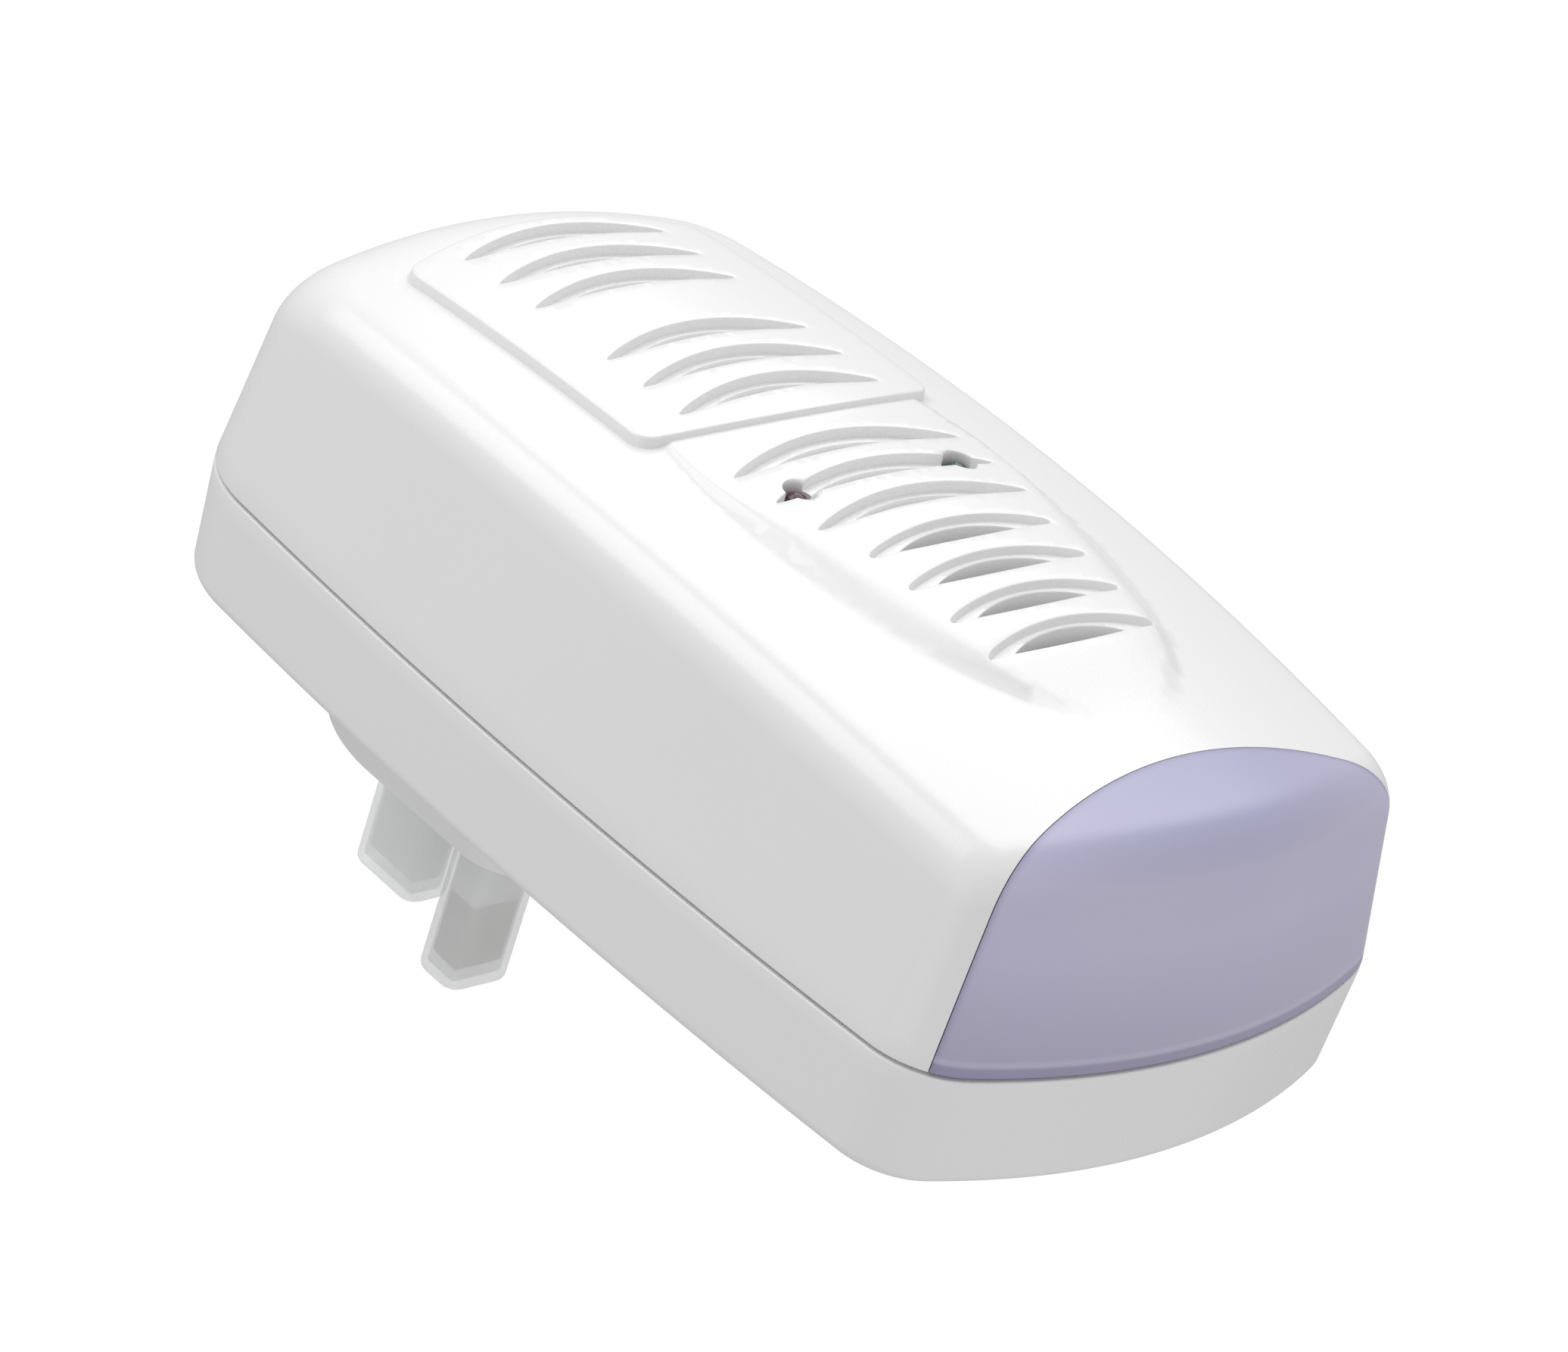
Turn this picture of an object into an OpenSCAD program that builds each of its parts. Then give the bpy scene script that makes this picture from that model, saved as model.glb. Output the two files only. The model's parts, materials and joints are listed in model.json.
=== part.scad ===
// Plug-in ultrasonic pest repeller with a night light.
// Seen from the front: X is to the right, Z is up, and the front faces -Y.
// The origin is the centre of the plug's pins on the plug face, which rests on the wall socket.
// Depth is measured from the plug face towards the front, so depth = -y.

/* [Case] */
// Width of the case between its bowed sides
case_w = 71; // [66:0.5:90]
// Height of the case from the lens end to the top end
case_h = 126; // [120:0.5:156]
// Height of the case's top end above the centre of the pins
plug_to_top = 31.5; // [30:0.5:40]
// Depth of the rear shell from its back to the parting line
rear_depth = 12.9; // [12:0.1:18]
// Depth of the front shell at the middle of its crown
front_depth = 28.8; // [27:0.1:40]
// Wall thickness of the shells and the lens
wall = 2.2; // [1.6:0.1:2.8]
// Gap seen along the parting line
parting_gap = 0.4; // [0.2:0.1:0.8]
// Bow radius of the long sides
side_bow_r = 620; // [300:10:2000]
// Bow radius of the top end
top_bow_r = 185; // [100:5:600]
// Bow radius of the lens end
lens_bow_r = 78; // [60:1:200]
// Corner radius at the top end
top_corner_r = 15; // [12:0.5:18]
// Corner radius at the lens end
lens_corner_r = 9.5; // [8:0.5:12]
// Lean of the front shell's long sides over their height
side_lean = 2.9; // [1:0.1:4]
// Lean of the front shell's top end
top_lean = 1.2; // [0.5:0.1:4]
// Lean of the front shell's lens end
lens_lean = 2.7; // [1:0.1:4]
// Rounding where the long sides roll over into the front
side_edge_r = 4.5; // [3:0.1:7]
// Rounding where the top end rolls over into the front
top_edge_r = 10.4; // [6:0.1:12]
// Rounding where the lens end rolls over into the front
lens_edge_r = 5; // [3:0.1:8]
// Crown radius of the front across its width
crown_x_r = 108; // [90:1:300]
// Crown radius of the front along its height
crown_z_r = 440; // [300:5:900]
// Height of the crown's highest point above the pins' centre
crown_z = -24; // [-40:1:0]
// Rounding of the rear shell's back edge
back_edge_r = 1.6; // [0.5:0.1:2]
// Lean of the rear shell's sides over their depth
back_lean = 0.6; // [0.2:0.1:1.5]

/* [Vents] */
// Rise of the upper vent panel above the crown
panel_rise = 1.1; // [0.4:0.1:1.6]
// Half width of the upper vent panel
panel_half_w = 20.4; // [17:0.1:22]
// Height of the panel's top edge above the pins' centre
panel_top = 19.4; // [18:0.1:20]
// Height of the panel's bottom edge above the pins' centre
panel_bottom = -23.2; // [-24:0.1:-22]
// Corner radius of the panel
panel_corner_r = 2.5; // [1:0.1:4]
// Rise of the lower vent hump above the crown
hump_rise = 1.6; // [0.6:0.1:2]
// Half width of the hump
hump_half_w = 19.2; // [17:0.1:22]
// Height of the hump's rounded tip above the pins' centre
hump_tip = -74.3; // [-76:0.1:-72]
// Distance between neighbouring vents
vent_pitch = 5.6; // [5:0.05:5.8]
// Height of the first vent above the pins' centre
first_vent_z = 14.5; // [14:0.1:15]
// Height of the first vent on the hump
first_hump_vent_z = -29.8; // [-30.2:0.1:-29]
// Bulge of a vent's outer arc
vent_bulge = 3; // [2:0.1:3.4]
// Depth of the vent recesses
vent_depth = 1.2; // [0.6:0.1:1.5]
// Radius of the holes for the indicator lights
led_hole_r = 1.75; // [1.7:0.05:2.2]

/* [Lens] */
// Height of the lens's arched edge above the pins' centre, at the middle
lens_top = -80; // [-82:0.5:-78]
// Radius of the lens's arched edge
lens_arch_r = 70; // [60:1:90]
// Gap between the lens and the front shell
lens_gap = 0.15; // [0.1:0.05:0.4]
// Width of the lip that holds the lens behind the front shell
lens_lip = 2.5; // [1.5:0.1:4]

/* [Plug] */
// Depth of the plug block, from the plug face to the case's back
block_depth = 12.6; // [12:0.1:18]
// Half width of the plug block, which is also the radius of its round top
block_half_w = 20.3; // [20:0.1:24]
// Height of the centre of the block's round top above the pins' centre
block_round_z = 1.2; // [0:0.1:3]
// Distance of the block's bottom below the pins' centre
block_drop = 20.5; // [20:0.1:24]
// Wall thickness of the plug block
block_wall = 3; // [2.5:0.1:3.5]
// Thickness of the plug face
face_t = 4; // [3.5:0.1:5]
// Distance between the live and neutral pins' centres
pin_spacing = 22.2; // [22:0.1:22.4]
// Distance from the earth pin's centre down to the line of the other two
earth_rise = 22.2; // [22:0.1:22.4]
// Width of a live or neutral pin
power_pin_w = 6.35; // [6.22:0.01:6.48]
// Thickness of a live or neutral pin
power_pin_t = 4; // [3.95:0.01:4.05]
// Length of a live or neutral pin
power_pin_l = 17.7; // [17.2:0.1:18.2]
// Length of the insulating sleeve on a live or neutral pin
sleeve_l = 9; // [8:0.5:9.5]
// Wall thickness of the insulating sleeve
sleeve_t = 0.5; // [0.3:0.05:0.8]
// Width of the earth pin
earth_pin_w = 4; // [3.95:0.01:4.05]
// Thickness of the earth pin up and down
earth_pin_t = 8; // [7.87:0.01:8.05]
// Length of the earth pin
earth_pin_l = 22.7; // [22.2:0.1:23.2]
// Chamfer at the pins' tips
tip_chamfer = 1; // [0.4:0.1:1.2]
// Clearance between a pin and the hole it is pushed through
pin_gap = 0.05; // [0.02:0.01:0.15]

/* [Pin cover] */
// Wall thickness of the clear pin cover
cover_t = 0.9; // [0.6:0.05:1.2]
// Clearance between the pins and the cover's pockets
cover_gap = 0.3; // [0.2:0.05:0.5]
// Clearance under the cover's base in its seat
cover_seat_gap = 0.05; // [0.02:0.01:0.2]
// Room beyond the pins' tips inside the pockets
cover_end_gap = 0.5; // [0.4:0.1:3]
// Thickness of the cover's base
cover_base_t = 1.2; // [0.8:0.1:2]
// Depth of the seat in the plug face that the cover's base stands in
seat_depth = 0.5; // [0.3:0.1:1]

/* [Screws] */
// Thread radius of every screw
screw_r = 1.25; // [1:0.05:1.5]
// Head radius of every screw
screw_head_r = 2.5; // [2:0.1:2.8]
// Head height of every screw
screw_head_h = 1.6; // [1.2:0.1:2]
// Length of a case screw under its head
case_screw_l = 13; // [12:0.5:15]
// Clearance radius added where a screw only passes through
pass_gap = 0.35; // [0.2:0.05:0.5]

/* [Board] */
// Width of the circuit board
board_w = 45; // [44.5:0.1:45]
// Height of the circuit board
board_h = 95; // [92:0.5:97]
// Height of the board's top edge above the pins' centre
board_top = 11.5; // [10:0.5:12]
// Thickness of the circuit board
board_t = 1.6; // [1:0.1:2]
// Height of the posts that hold the board above the rear shell's floor
post_h = 6.2; // [5.5:0.1:7]

/* [Speaker] */
// Outer radius of the ultrasonic speaker
speaker_r = 19; // [17:0.1:19.5]
// Depth of the speaker's housing
speaker_depth = 9; // [7:0.1:10]
// Height of the speaker's centre above the pins' centre
speaker_z = -56; // [-57:0.5:-54]
// Thickness of the foam ring in front of the speaker
gasket_t = 1.5; // [1:0.1:2]
// Clearance between the speaker and the collar around it
collar_gap = 0.2; // [0.1:0.05:0.4]

/* [Hidden] */

$fn = 48;
eps = 0.01;
reach = 60;                                    // wider than half the case, for drawings that cut right across
cut = 1;                                       // how far a cutting shape runs past the wall it cuts
weld = 0.4;                                    // how far a boss or rib runs into the wall it stands on
shell_white = [0.93, 0.93, 0.92];
brass = [0.80, 0.66, 0.32];
steel = [0.72, 0.72, 0.74];

// Depths from the plug face
back_d = block_depth;
parting_d = back_d + rear_depth;
front_d = parting_d + front_depth;
floor_d = back_d + wall;
rear_rim_d = parting_d - parting_gap / 2;
front_rim_d = parting_d + parting_gap / 2;
board_d = floor_d + post_h;
board_face_d = board_d + board_t;

// Heights above the pins' centre
mid_z = plug_to_top - case_h / 2;
bottom_z = plug_to_top - case_h;

// Outline of the case: arcs as [centre x, centre z, radius, angle of the outward normal]
side_c = [case_w / 2 - side_bow_r, mid_z];
top_c = [0, plug_to_top - top_bow_r];
lens_c = [0, bottom_z + lens_bow_r];

// Centre of a corner arc that touches the side's arc and an end's arc from inside
function corner_centre(end_c, end_r, r, up) =
    let (v = end_c - side_c, l = norm(v), a = side_bow_r - r, b = end_r - r,
        along = (l * l + a * a - b * b) / (2 * l), across = sqrt(a * a - along * along))
    side_c + along * v / l + up * across * [-v.y, v.x] / l;
top_corner = corner_centre(top_c, top_bow_r, top_corner_r, 1);
lens_corner = corner_centre(lens_c, lens_bow_r, lens_corner_r, -1);
function direction(from, to) = atan2(to.y - from.y, to.x - from.x);
side_top_a = direction(side_c, top_corner);
top_a = direction(top_c, top_corner);
side_lens_a = direction(side_c, lens_corner);
lens_a = direction(lens_c, lens_corner);

function stations(c, r, from, to, n) = [for (i = [0 : n - 1]) [c.x, c.y, r, from + (to - from) * i / n]];
function mirrored(c) = [-c.x, c.y];
outline = concat(
    stations(side_c, side_bow_r, side_lens_a, side_top_a, 6),
    stations(top_corner, top_corner_r, side_top_a, top_a, 5),
    stations(top_c, top_bow_r, top_a, 180 - top_a, 7),
    stations(mirrored(top_corner), top_corner_r, 180 - top_a, 180 - side_top_a, 5),
    stations(mirrored(side_c), side_bow_r, 180 - side_top_a, 180 - side_lens_a, 6),
    stations(mirrored(lens_corner), lens_corner_r, 180 - side_lens_a, 180 - lens_a, 4),
    stations(lens_c, lens_bow_r, 180 - lens_a, 360 + lens_a, 8),
    stations(lens_corner, lens_corner_r, 360 + lens_a, 360 + side_lens_a, 4));

// The outline moved inwards, by amounts that blend from the sides to the ends
function ring(side_in, top_in, lens_in) = [
    for (s = outline)
        let (nx = cos(s[3]), nz = sin(s[3]),
            inset = side_in * nx * nx + (nz > 0 ? top_in : lens_in) * nz * nz)
        [s[0] + (s[2] - inset) * nx, s[1] + (s[2] - inset) * nz]];
function edge_radius(s, t) =
    let (nx = cos(s[3]), nz = sin(s[3]))
    max((side_edge_r - t) * nx * nx + ((nz > 0 ? top_edge_r : lens_edge_r) - t) * nz * nz, 0.5);

function crown(p) = front_d - p.x * p.x / (2 * crown_x_r) - pow(p.y - crown_z, 2) / (2 * crown_z_r);
function lifted(points, depth) = [for (p = points) [p.x, -depth, p.y]];

// A closed solid through rings that run from the back to the front, closed by a point at the front
module loft(rings, tip) {
    n = len(rings[0]);
    last = (len(rings) - 1) * n;
    points = concat([for (r = rings) each r], [tip]);
    sides = [
        for (i = [0 : len(rings) - 2])
            for (k = [0 : n - 1])
                let (a = i * n + k, b = i * n + (k + 1) % n)
                each [[a + n, b + n, b], [a + n, b, a]]];
    back = [[for (k = [0 : n - 1]) k]];
    front = [for (k = [0 : n - 1]) [last + (k + 1) % n, last + k, last + n]];
    polyhedron(points, concat(sides, back, front));
}

// A solid bounded by the front shell's outside moved inwards by t, and its crown raised by rise
module front_body(t = 0, rise = 0, base = front_rim_d) {
    roll = [
        for (angle = [0 : 22.5 : 90])
            let (c = 1 - cos(angle), s = 1 - sin(angle),
                rs = max(side_edge_r - t, 0.5), rt = max(top_edge_r - t, 0.5),
                rl = max(lens_edge_r - t, 0.5),
                flat = ring(t + side_lean + rs * c, t + top_lean + rt * c, t + lens_lean + rl * c))
            [for (i = [0 : len(outline) - 1])
                [flat[i].x, -(crown(flat[i]) + rise - t - edge_radius(outline[i], t) * s), flat[i].y]]];
    rim = roll[len(roll) - 1];
    centre = [0, mid_z];
    top = [
        for (share = [0.75, 0.5, 0.25])
            [for (p = rim)
                let (q = centre + share * ([p.x, p.z] - centre))
                [q.x, -(crown(q) + rise - t), q.y]]];
    loft(concat([lifted(ring(t, t, t), base)], roll, top), [0, -(crown(centre) + rise - t), mid_z]);
}

// A tray-shaped solid: the rear shell's outside moved inwards by t, from its back to depth_end
module rear_body(t = 0, depth_end = rear_rim_d) {
    r = max(back_edge_r - t, 0.3);
    rings = concat(
        [for (angle = [90, 60, 30, 0])
            let (inset = t + back_lean + r * (1 - cos(angle)))
            lifted(ring(inset, inset, inset), back_d + t + r * (1 - sin(angle)))],
        [lifted(ring(t, t, t), depth_end)]);
    loft(rings, [0, -depth_end, mid_z]);
}

// A straight-sided solid with the case's outline moved inwards by t
module outline_band(t, from, to) {
    loft([lifted(ring(t, t, t), from), lifted(ring(t, t, t), to)], [0, -to, mid_z]);
}

// Stands a flat drawing in X and Z up as a solid between two depths
module upright(from, to) {
    translate([0, -from, 0])
        rotate([90, 0, 0])
            linear_extrude(to - from)
                children();
}
module rod(p, r, from, to) {
    translate([p.x, -from, p.y])
        rotate([90, 0, 0])
            cylinder(r = r, h = to - from);
}

// A pan head screw that points towards the plug face or, with towards = 1, towards the front
module screw(p, seat_d, length, towards = 1) {
    shank = towards > 0 ? [seat_d, seat_d + length] : [seat_d - length, seat_d];
    head = towards > 0 ? [seat_d - screw_head_h, seat_d] : [seat_d, seat_d + screw_head_h];
    color(steel) {
        rod(p, screw_r, shank[0], shank[1]);
        difference() {
            rod(p, screw_head_r, head[0], head[1]);
            slot_d = towards > 0 ? [head[0] - eps, head[0] + screw_head_h / 2]
                                 : [head[1] - screw_head_h / 2, head[1] + eps];
            for (turn = [0, 90])
                translate([p.x, -(slot_d[0] + slot_d[1]) / 2, p.y])
                    rotate([0, turn, 0])
                        cube([screw_head_r * 1.2, slot_d[1] - slot_d[0], 0.5], center = true);
        }
    }
}

// ---- Shared places ----
top_screw_in = 9.3;
lens_screw_in = 6.8;
top_screw_drop = 14.5;
lens_screw_rise = 18.5;
top_screw_x = case_w / 2 - wall - top_screw_in;
lens_screw_x = case_w / 2 - wall - lens_screw_in;
case_screw_at = [
    [-top_screw_x, plug_to_top - top_screw_drop], [top_screw_x, plug_to_top - top_screw_drop],
    [-lens_screw_x, bottom_z + lens_screw_rise], [lens_screw_x, bottom_z + lens_screw_rise]];
case_boss_r = 3.6;
rear_boss_r = case_boss_r + 0.2;
boss_gap = 0.15;
case_head_d = back_d + 8;                      // depth at which the case screws' heads seat
post_at = [for (x = [-1, 1], z = [board_top - 4, board_top - board_h + 24]) [x * (board_w / 2 - 2.8), z]];
post_r = 2.2;
board_screw_l = 5;
panel_half_l = 13.85;                          // half length of the panel's vents
panel_vents = [for (k = [0, 1, 2, 4, 5, 6]) [first_vent_z - k * vent_pitch, panel_half_l]];
hump_half_l = [15.65, 15.05, 14.5, 12.6, 12.3, 11.7, 11.5];
hump_vents = [for (k = [0 : len(hump_half_l) - 1]) [first_hump_vent_z - k * vent_pitch, hump_half_l[k]]];
first_open_vent = 3;                           // hump vents from this one on go right through
slot_share = 0.72;                             // length of a through slot as a share of its vent
slot_bulge = 1.5;
led_vent = hump_vents[1];
led_x = 11.2;
led_rise = 0.9;                                // height of the lights above the vent's straight edge
led_at = [for (x = [-led_x, led_x]) [x, led_vent[0] + led_rise]];

// ---- Case ----
// A vent's outline: two shallow arcs that meet in points, the far one bulging by bulge
module crescent(half, bulge, near = 0.4) {
    steps = 8;
    xs = [for (i = [0 : steps]) half * (2 * i / steps - 1)];
    polygon(concat(
        [for (x = xs) [x, bulge * (1 - pow(x / half, 2))]],
        [for (i = [steps - 1 : -1 : 1]) [xs[i], near * (1 - pow(xs[i] / half, 2))]]));
}
module vent_cutters(vents) {
    for (v = vents)
        upright(parting_d + 10, front_d + 10)
            translate([0, v[0]])
                crescent(v[1], vent_bulge);
}
module panel_outline() {
    edge_x = panel_half_w;
    top_bow = 3.2;
    bottom_bow = 2;
    steps = 8;
    offset(r = panel_corner_r, $fn = 20)
        offset(delta = -panel_corner_r)
            polygon(concat(
                [for (i = [0 : steps]) let (u = 1 - 2 * i / steps)
                    [edge_x * u, panel_top - top_bow * u * u]],
                [for (i = [0 : steps]) let (u = 2 * i / steps - 1)
                    [edge_x * u, panel_bottom + bottom_bow * u * u]]));
}
hump_wide_z = -38;                             // height at which the hump is widest
hump_upper_l = 43;                             // how far its upper half would run if it closed
hump_under_panel = 1.5;                        // how far the hump runs up under the panel
module hump_outline() {
    intersection() {
        translate([0, hump_wide_z])
            scale([hump_half_w, hump_upper_l])
                circle(r = 1);
        translate([-reach, hump_wide_z])
            square([2 * reach, panel_bottom + hump_under_panel - hump_wide_z]);
    }
    intersection() {
        translate([0, hump_wide_z])
            scale([hump_half_w, hump_wide_z - hump_tip])
                circle(r = 1);
        translate([-reach, hump_wide_z - reach])
            square([2 * reach, reach + eps]);
    }
}
// Everything below the lens's arched edge, grown by gap
module lens_region(gap, from, to) {
    upright(from, to)
        difference() {
            translate([-reach, bottom_z - reach])
                square([2 * reach, lens_top + gap - bottom_z + reach]);
            arch_outside(gap);
        }
}
module arch_outside(gap) {
    difference() {
        translate([-reach - cut, lens_top - lens_arch_r])
            square([2 * (reach + cut), lens_arch_r + gap + cut]);
        translate([0, lens_top - lens_arch_r])
            circle(r = lens_arch_r + gap, $fn = 120);
    }
}
module front_outside() {
    front_body();
    intersection() {
        front_body(0, panel_rise);
        upright(parting_d + 15, front_d + 10)
            panel_outline();
    }
    intersection() {
        front_body(0, hump_rise);
        upright(parting_d + 15, front_d + 10)
            hump_outline();
    }
}
// The recess floors follow the crown, so what stands under them is a lower copy of the surface
module vent_recesses() {
    difference() {
        vent_cutters(panel_vents);
        front_body(0, panel_rise - vent_depth);
    }
    difference() {
        vent_cutters(hump_vents);
        front_body(0, hump_rise - vent_depth);
    }
}
module front_hollow() {
    front_body(wall, 0, front_rim_d - cut);
}
module front_shell() {
    collar_r = speaker_r + collar_gap + 1.4;
    color(shell_white)
        difference() {
            union() {
                difference() {
                    front_outside();
                    vent_recesses();
                    front_hollow();
                }
                intersection() {
                    front_body(wall - weld);
                    union() {
                        for (p = case_screw_at)
                            rod(p, case_boss_r, front_rim_d, front_d);
                        difference() {
                            rod([0, speaker_z], collar_r, speaker_back_d + 2, front_d);
                            rod([0, speaker_z], speaker_r - gasket_w, parting_d, front_d + cut);
                        }
                    }
                }
            }
            for (p = case_screw_at)
                rod(p, screw_r, parting_d - cut, case_head_d + case_screw_l + 1);
            rod([0, speaker_z], speaker_r + collar_gap, parting_d, speaker_front_d + gasket_t);
            for (k = [first_open_vent : len(hump_vents) - 1])
                upright(parting_d + 5, front_d + 10)
                    translate([0, hump_vents[k][0]])
                        crescent(hump_vents[k][1] * slot_share, slot_bulge, 0);
            for (p = led_at)
                rod(p, led_hole_r, parting_d, front_d + 10);
            lens_region(0, back_d, front_d + 10);
        }
}

module night_light_lens() {
    lip_in = wall + 0.1;
    lip_t = 1.2;
    color([0.70, 0.69, 0.82, 0.8])
        union() {
            intersection() {
                difference() {
                    front_body();
                    front_hollow();
                }
                lens_region(-lens_gap, back_d, front_d + 10);
            }
            intersection() {
                difference() {
                    front_body(lip_in);
                    front_body(lip_in + lip_t, 0, front_rim_d - cut);
                }
                lens_region(lens_lip, front_rim_d + 12, front_d + 10);
                translate([-(case_w / 2 - 14), -front_d - 10, bottom_z])
                    cube([case_w - 28, front_d + 10 - parting_d, case_h]);
            }
            intersection() {
                difference() {
                    front_body(wall - 0.5);
                    front_body(lip_in + lip_t, 0, front_rim_d - cut);
                }
                lens_region(-lens_gap - 0.4, front_rim_d + 12, front_d + 10);
                translate([-(case_w / 2 - 14), -front_d - 10, lens_top - 6])
                    cube([case_w - 28, front_d + 10 - parting_d, case_h]);
            }
        }
}

module rear_shell() {
    tongue_clear = 0.054;
    tongue_t = 1;
    tongue_h = 2;
    tongue_root = 3;
    // The lens end leans in the most over its height, and the tongue stands clear of that lean
    lens_rise = crown([0, bottom_z]) - lens_edge_r - parting_d;
    tongue_gap = tongue_clear + lens_lean * (tongue_h + cut) / lens_rise;
    color(shell_white)
        difference() {
            union() {
                difference() {
                    rear_body();
                    rear_body(wall, rear_rim_d + cut);
                }
                difference() {
                    union() {
                        outline_band(wall / 2, rear_rim_d - tongue_root, rear_rim_d);
                        outline_band(wall + tongue_gap, rear_rim_d - cut, rear_rim_d + tongue_h);
                    }
                    outline_band(wall + tongue_gap + tongue_t, rear_rim_d - tongue_root - cut,
                        rear_rim_d + tongue_h + cut);
                }
                for (p = case_screw_at)
                    rod(p, rear_boss_r, floor_d - weld, rear_rim_d);
                for (p = post_at)
                    rod(p, post_r, floor_d - weld, board_d);
            }
            for (p = case_screw_at) {
                rod(p, screw_r + pass_gap, back_d - cut, rear_rim_d + cut);
                rod(p, screw_head_r + pass_gap, back_d - cut, case_head_d);
            }
            for (p = post_at)
                rod(p, screw_r, board_d - board_screw_l, board_d + cut);
            upright(back_d - cut, floor_d + cut)
                block_inside();
            for (p = block_screw_at)
                rod(p, screw_r + pass_gap, back_d - cut, floor_d + cut);
        }
}

// ---- Plug ----
power_pin = [power_pin_w, power_pin_t, power_pin_l];
earth_pin = [earth_pin_w, earth_pin_t, earth_pin_l];
power_pin_at = [for (x = [-1, 1]) [x * pin_spacing / 2, -earth_rise / 2]];
earth_pin_at = [0, earth_rise / 2];
block_screw_r = 2.6;                           // radius of the bosses for the block's screws
block_screw_at = concat(
    [for (x = [-1, 1]) [x * 0.71 * (block_half_w - block_wall - 1.5),
        block_round_z + 0.7 * (block_half_w - block_wall - 1.5)]],
    [for (x = [-1, 1]) [x * (block_half_w - block_wall - 1.2), -(block_drop - block_wall - 1)]]);
block_screw_l = 6;
head_grow = [0.8, 0.8];                        // how much a pin's head stands out on each side of the pin
head_t = 2;
retainer_t = 2.4;
retainer_d = face_t + head_t;
retainer_screw_at = [[-7.5, 0], [7.5, 0]];
retainer_screw_l = 5;
tail_d = 9.5;                                  // depth at which the pins' inner ends stop

// The plug block's outline moved inwards by t: a round top, straight sides and two lower corners
module block_outline(t = 0) {
    half = block_half_w - t;
    low = -block_drop + t;
    corner = 6 - t;
    translate([0, block_round_z])
        circle(r = half, $fn = 96);
    translate([-half, low + corner])
        square([2 * half, block_round_z - low - corner]);
    translate([-half + corner, low])
        square([2 * (half - corner), corner + eps]);
    for (x = [-1, 1])
        translate([x * (half - corner), low + corner])
            circle(r = corner);
}
module block_inside() {
    difference() {
        block_outline(block_wall);
        for (p = block_screw_at)
            translate(p)
                circle(r = block_screw_r);
    }
}
module pin_prism(p, size, grow, from, to) {
    translate([p.x - size[0] / 2 - grow[0], -to, p.y - size[1] / 2 - grow[1]])
        cube([size[0] + 2 * grow[0], to - from, size[1] + 2 * grow[1]]);
}
module all_pin_prisms(grow, from, to) {
    for (p = power_pin_at)
        pin_prism(p, power_pin, grow, from, to);
    pin_prism(earth_pin_at, earth_pin, grow, from, to);
}
// A pin whose tip is chamfered on all four sides, cut from a plain bar by four wedges
module pin_bar(p, size, shrink, from, length) {
    w = size[0] - 2 * shrink;
    t = size[1] - 2 * shrink;
    l = length - from;
    translate([p.x, from, p.y])
        intersection() {
            translate([0, 0, -t / 2])
                linear_extrude(t)
                    polygon([[-w / 2, 0], [w / 2, 0], [w / 2, l - tip_chamfer], [w / 2 - tip_chamfer, l],
                        [-w / 2 + tip_chamfer, l], [-w / 2, l - tip_chamfer]]);
            rotate([0, -90, 0])
                translate([0, 0, -w / 2])
                    linear_extrude(w)
                        polygon([[-t / 2, 0], [t / 2, 0], [t / 2, l - tip_chamfer],
                            [t / 2 - tip_chamfer, l], [-t / 2 + tip_chamfer, l],
                            [-t / 2, l - tip_chamfer]]);
        }
}
module pin_inside(p, size) {
    pin_prism(p, size, head_grow, face_t, face_t + head_t);
    pin_prism(p, size, [-0.8, -0.8], face_t + head_t, tail_d);
}

module plug_block() {
    collar = 1.6;
    color([0.90, 0.90, 0.89])
        difference() {
            union() {
                difference() {
                    upright(0, block_depth)
                        block_outline();
                    upright(face_t, block_depth + cut)
                        block_inside();
                }
                for (p = retainer_screw_at)
                    rod(p, screw_r + collar, face_t - eps, retainer_d);
            }
            upright(-cut, seat_depth)
                cover_base_outline(cover_gap);
            all_pin_prisms([pin_gap, pin_gap], -cut, face_t + cut);
            for (p = retainer_screw_at)
                rod(p, screw_r, retainer_d - retainer_screw_l + retainer_t, retainer_d + cut);
            for (p = block_screw_at)
                rod(p, screw_r, block_depth - block_screw_l + wall, block_depth + cut);
        }
}

module power_pin_solid(p) {
    color(brass)
        union() {
            pin_bar(p, power_pin, 0, sleeve_l, power_pin[2]);
            pin_prism(p, power_pin, [-sleeve_t, -sleeve_t], -sleeve_l, 0);
            pin_prism(p, power_pin, [0, 0], 0, face_t);
            pin_inside(p, power_pin);
        }
}
module live_pin() {
    power_pin_solid(power_pin_at[1]);
}
module neutral_pin() {
    power_pin_solid(power_pin_at[0]);
}
module earth_pin() {
    color([0.90, 0.90, 0.89])
        union() {
            pin_bar(earth_pin_at, earth_pin, 0, 0, earth_pin[2]);
            pin_prism(earth_pin_at, earth_pin, [0, 0], 0, face_t);
            pin_prism(earth_pin_at, earth_pin, head_grow, face_t, face_t + head_t);
        }
}
module pin_sleeves() {
    color([0.92, 0.92, 0.90])
        for (p = power_pin_at)
            difference() {
                pin_prism(p, power_pin, [0, 0], -sleeve_l, 0);
                pin_prism(p, power_pin, [-sleeve_t, -sleeve_t], -sleeve_l - cut, cut);
            }
}
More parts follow.
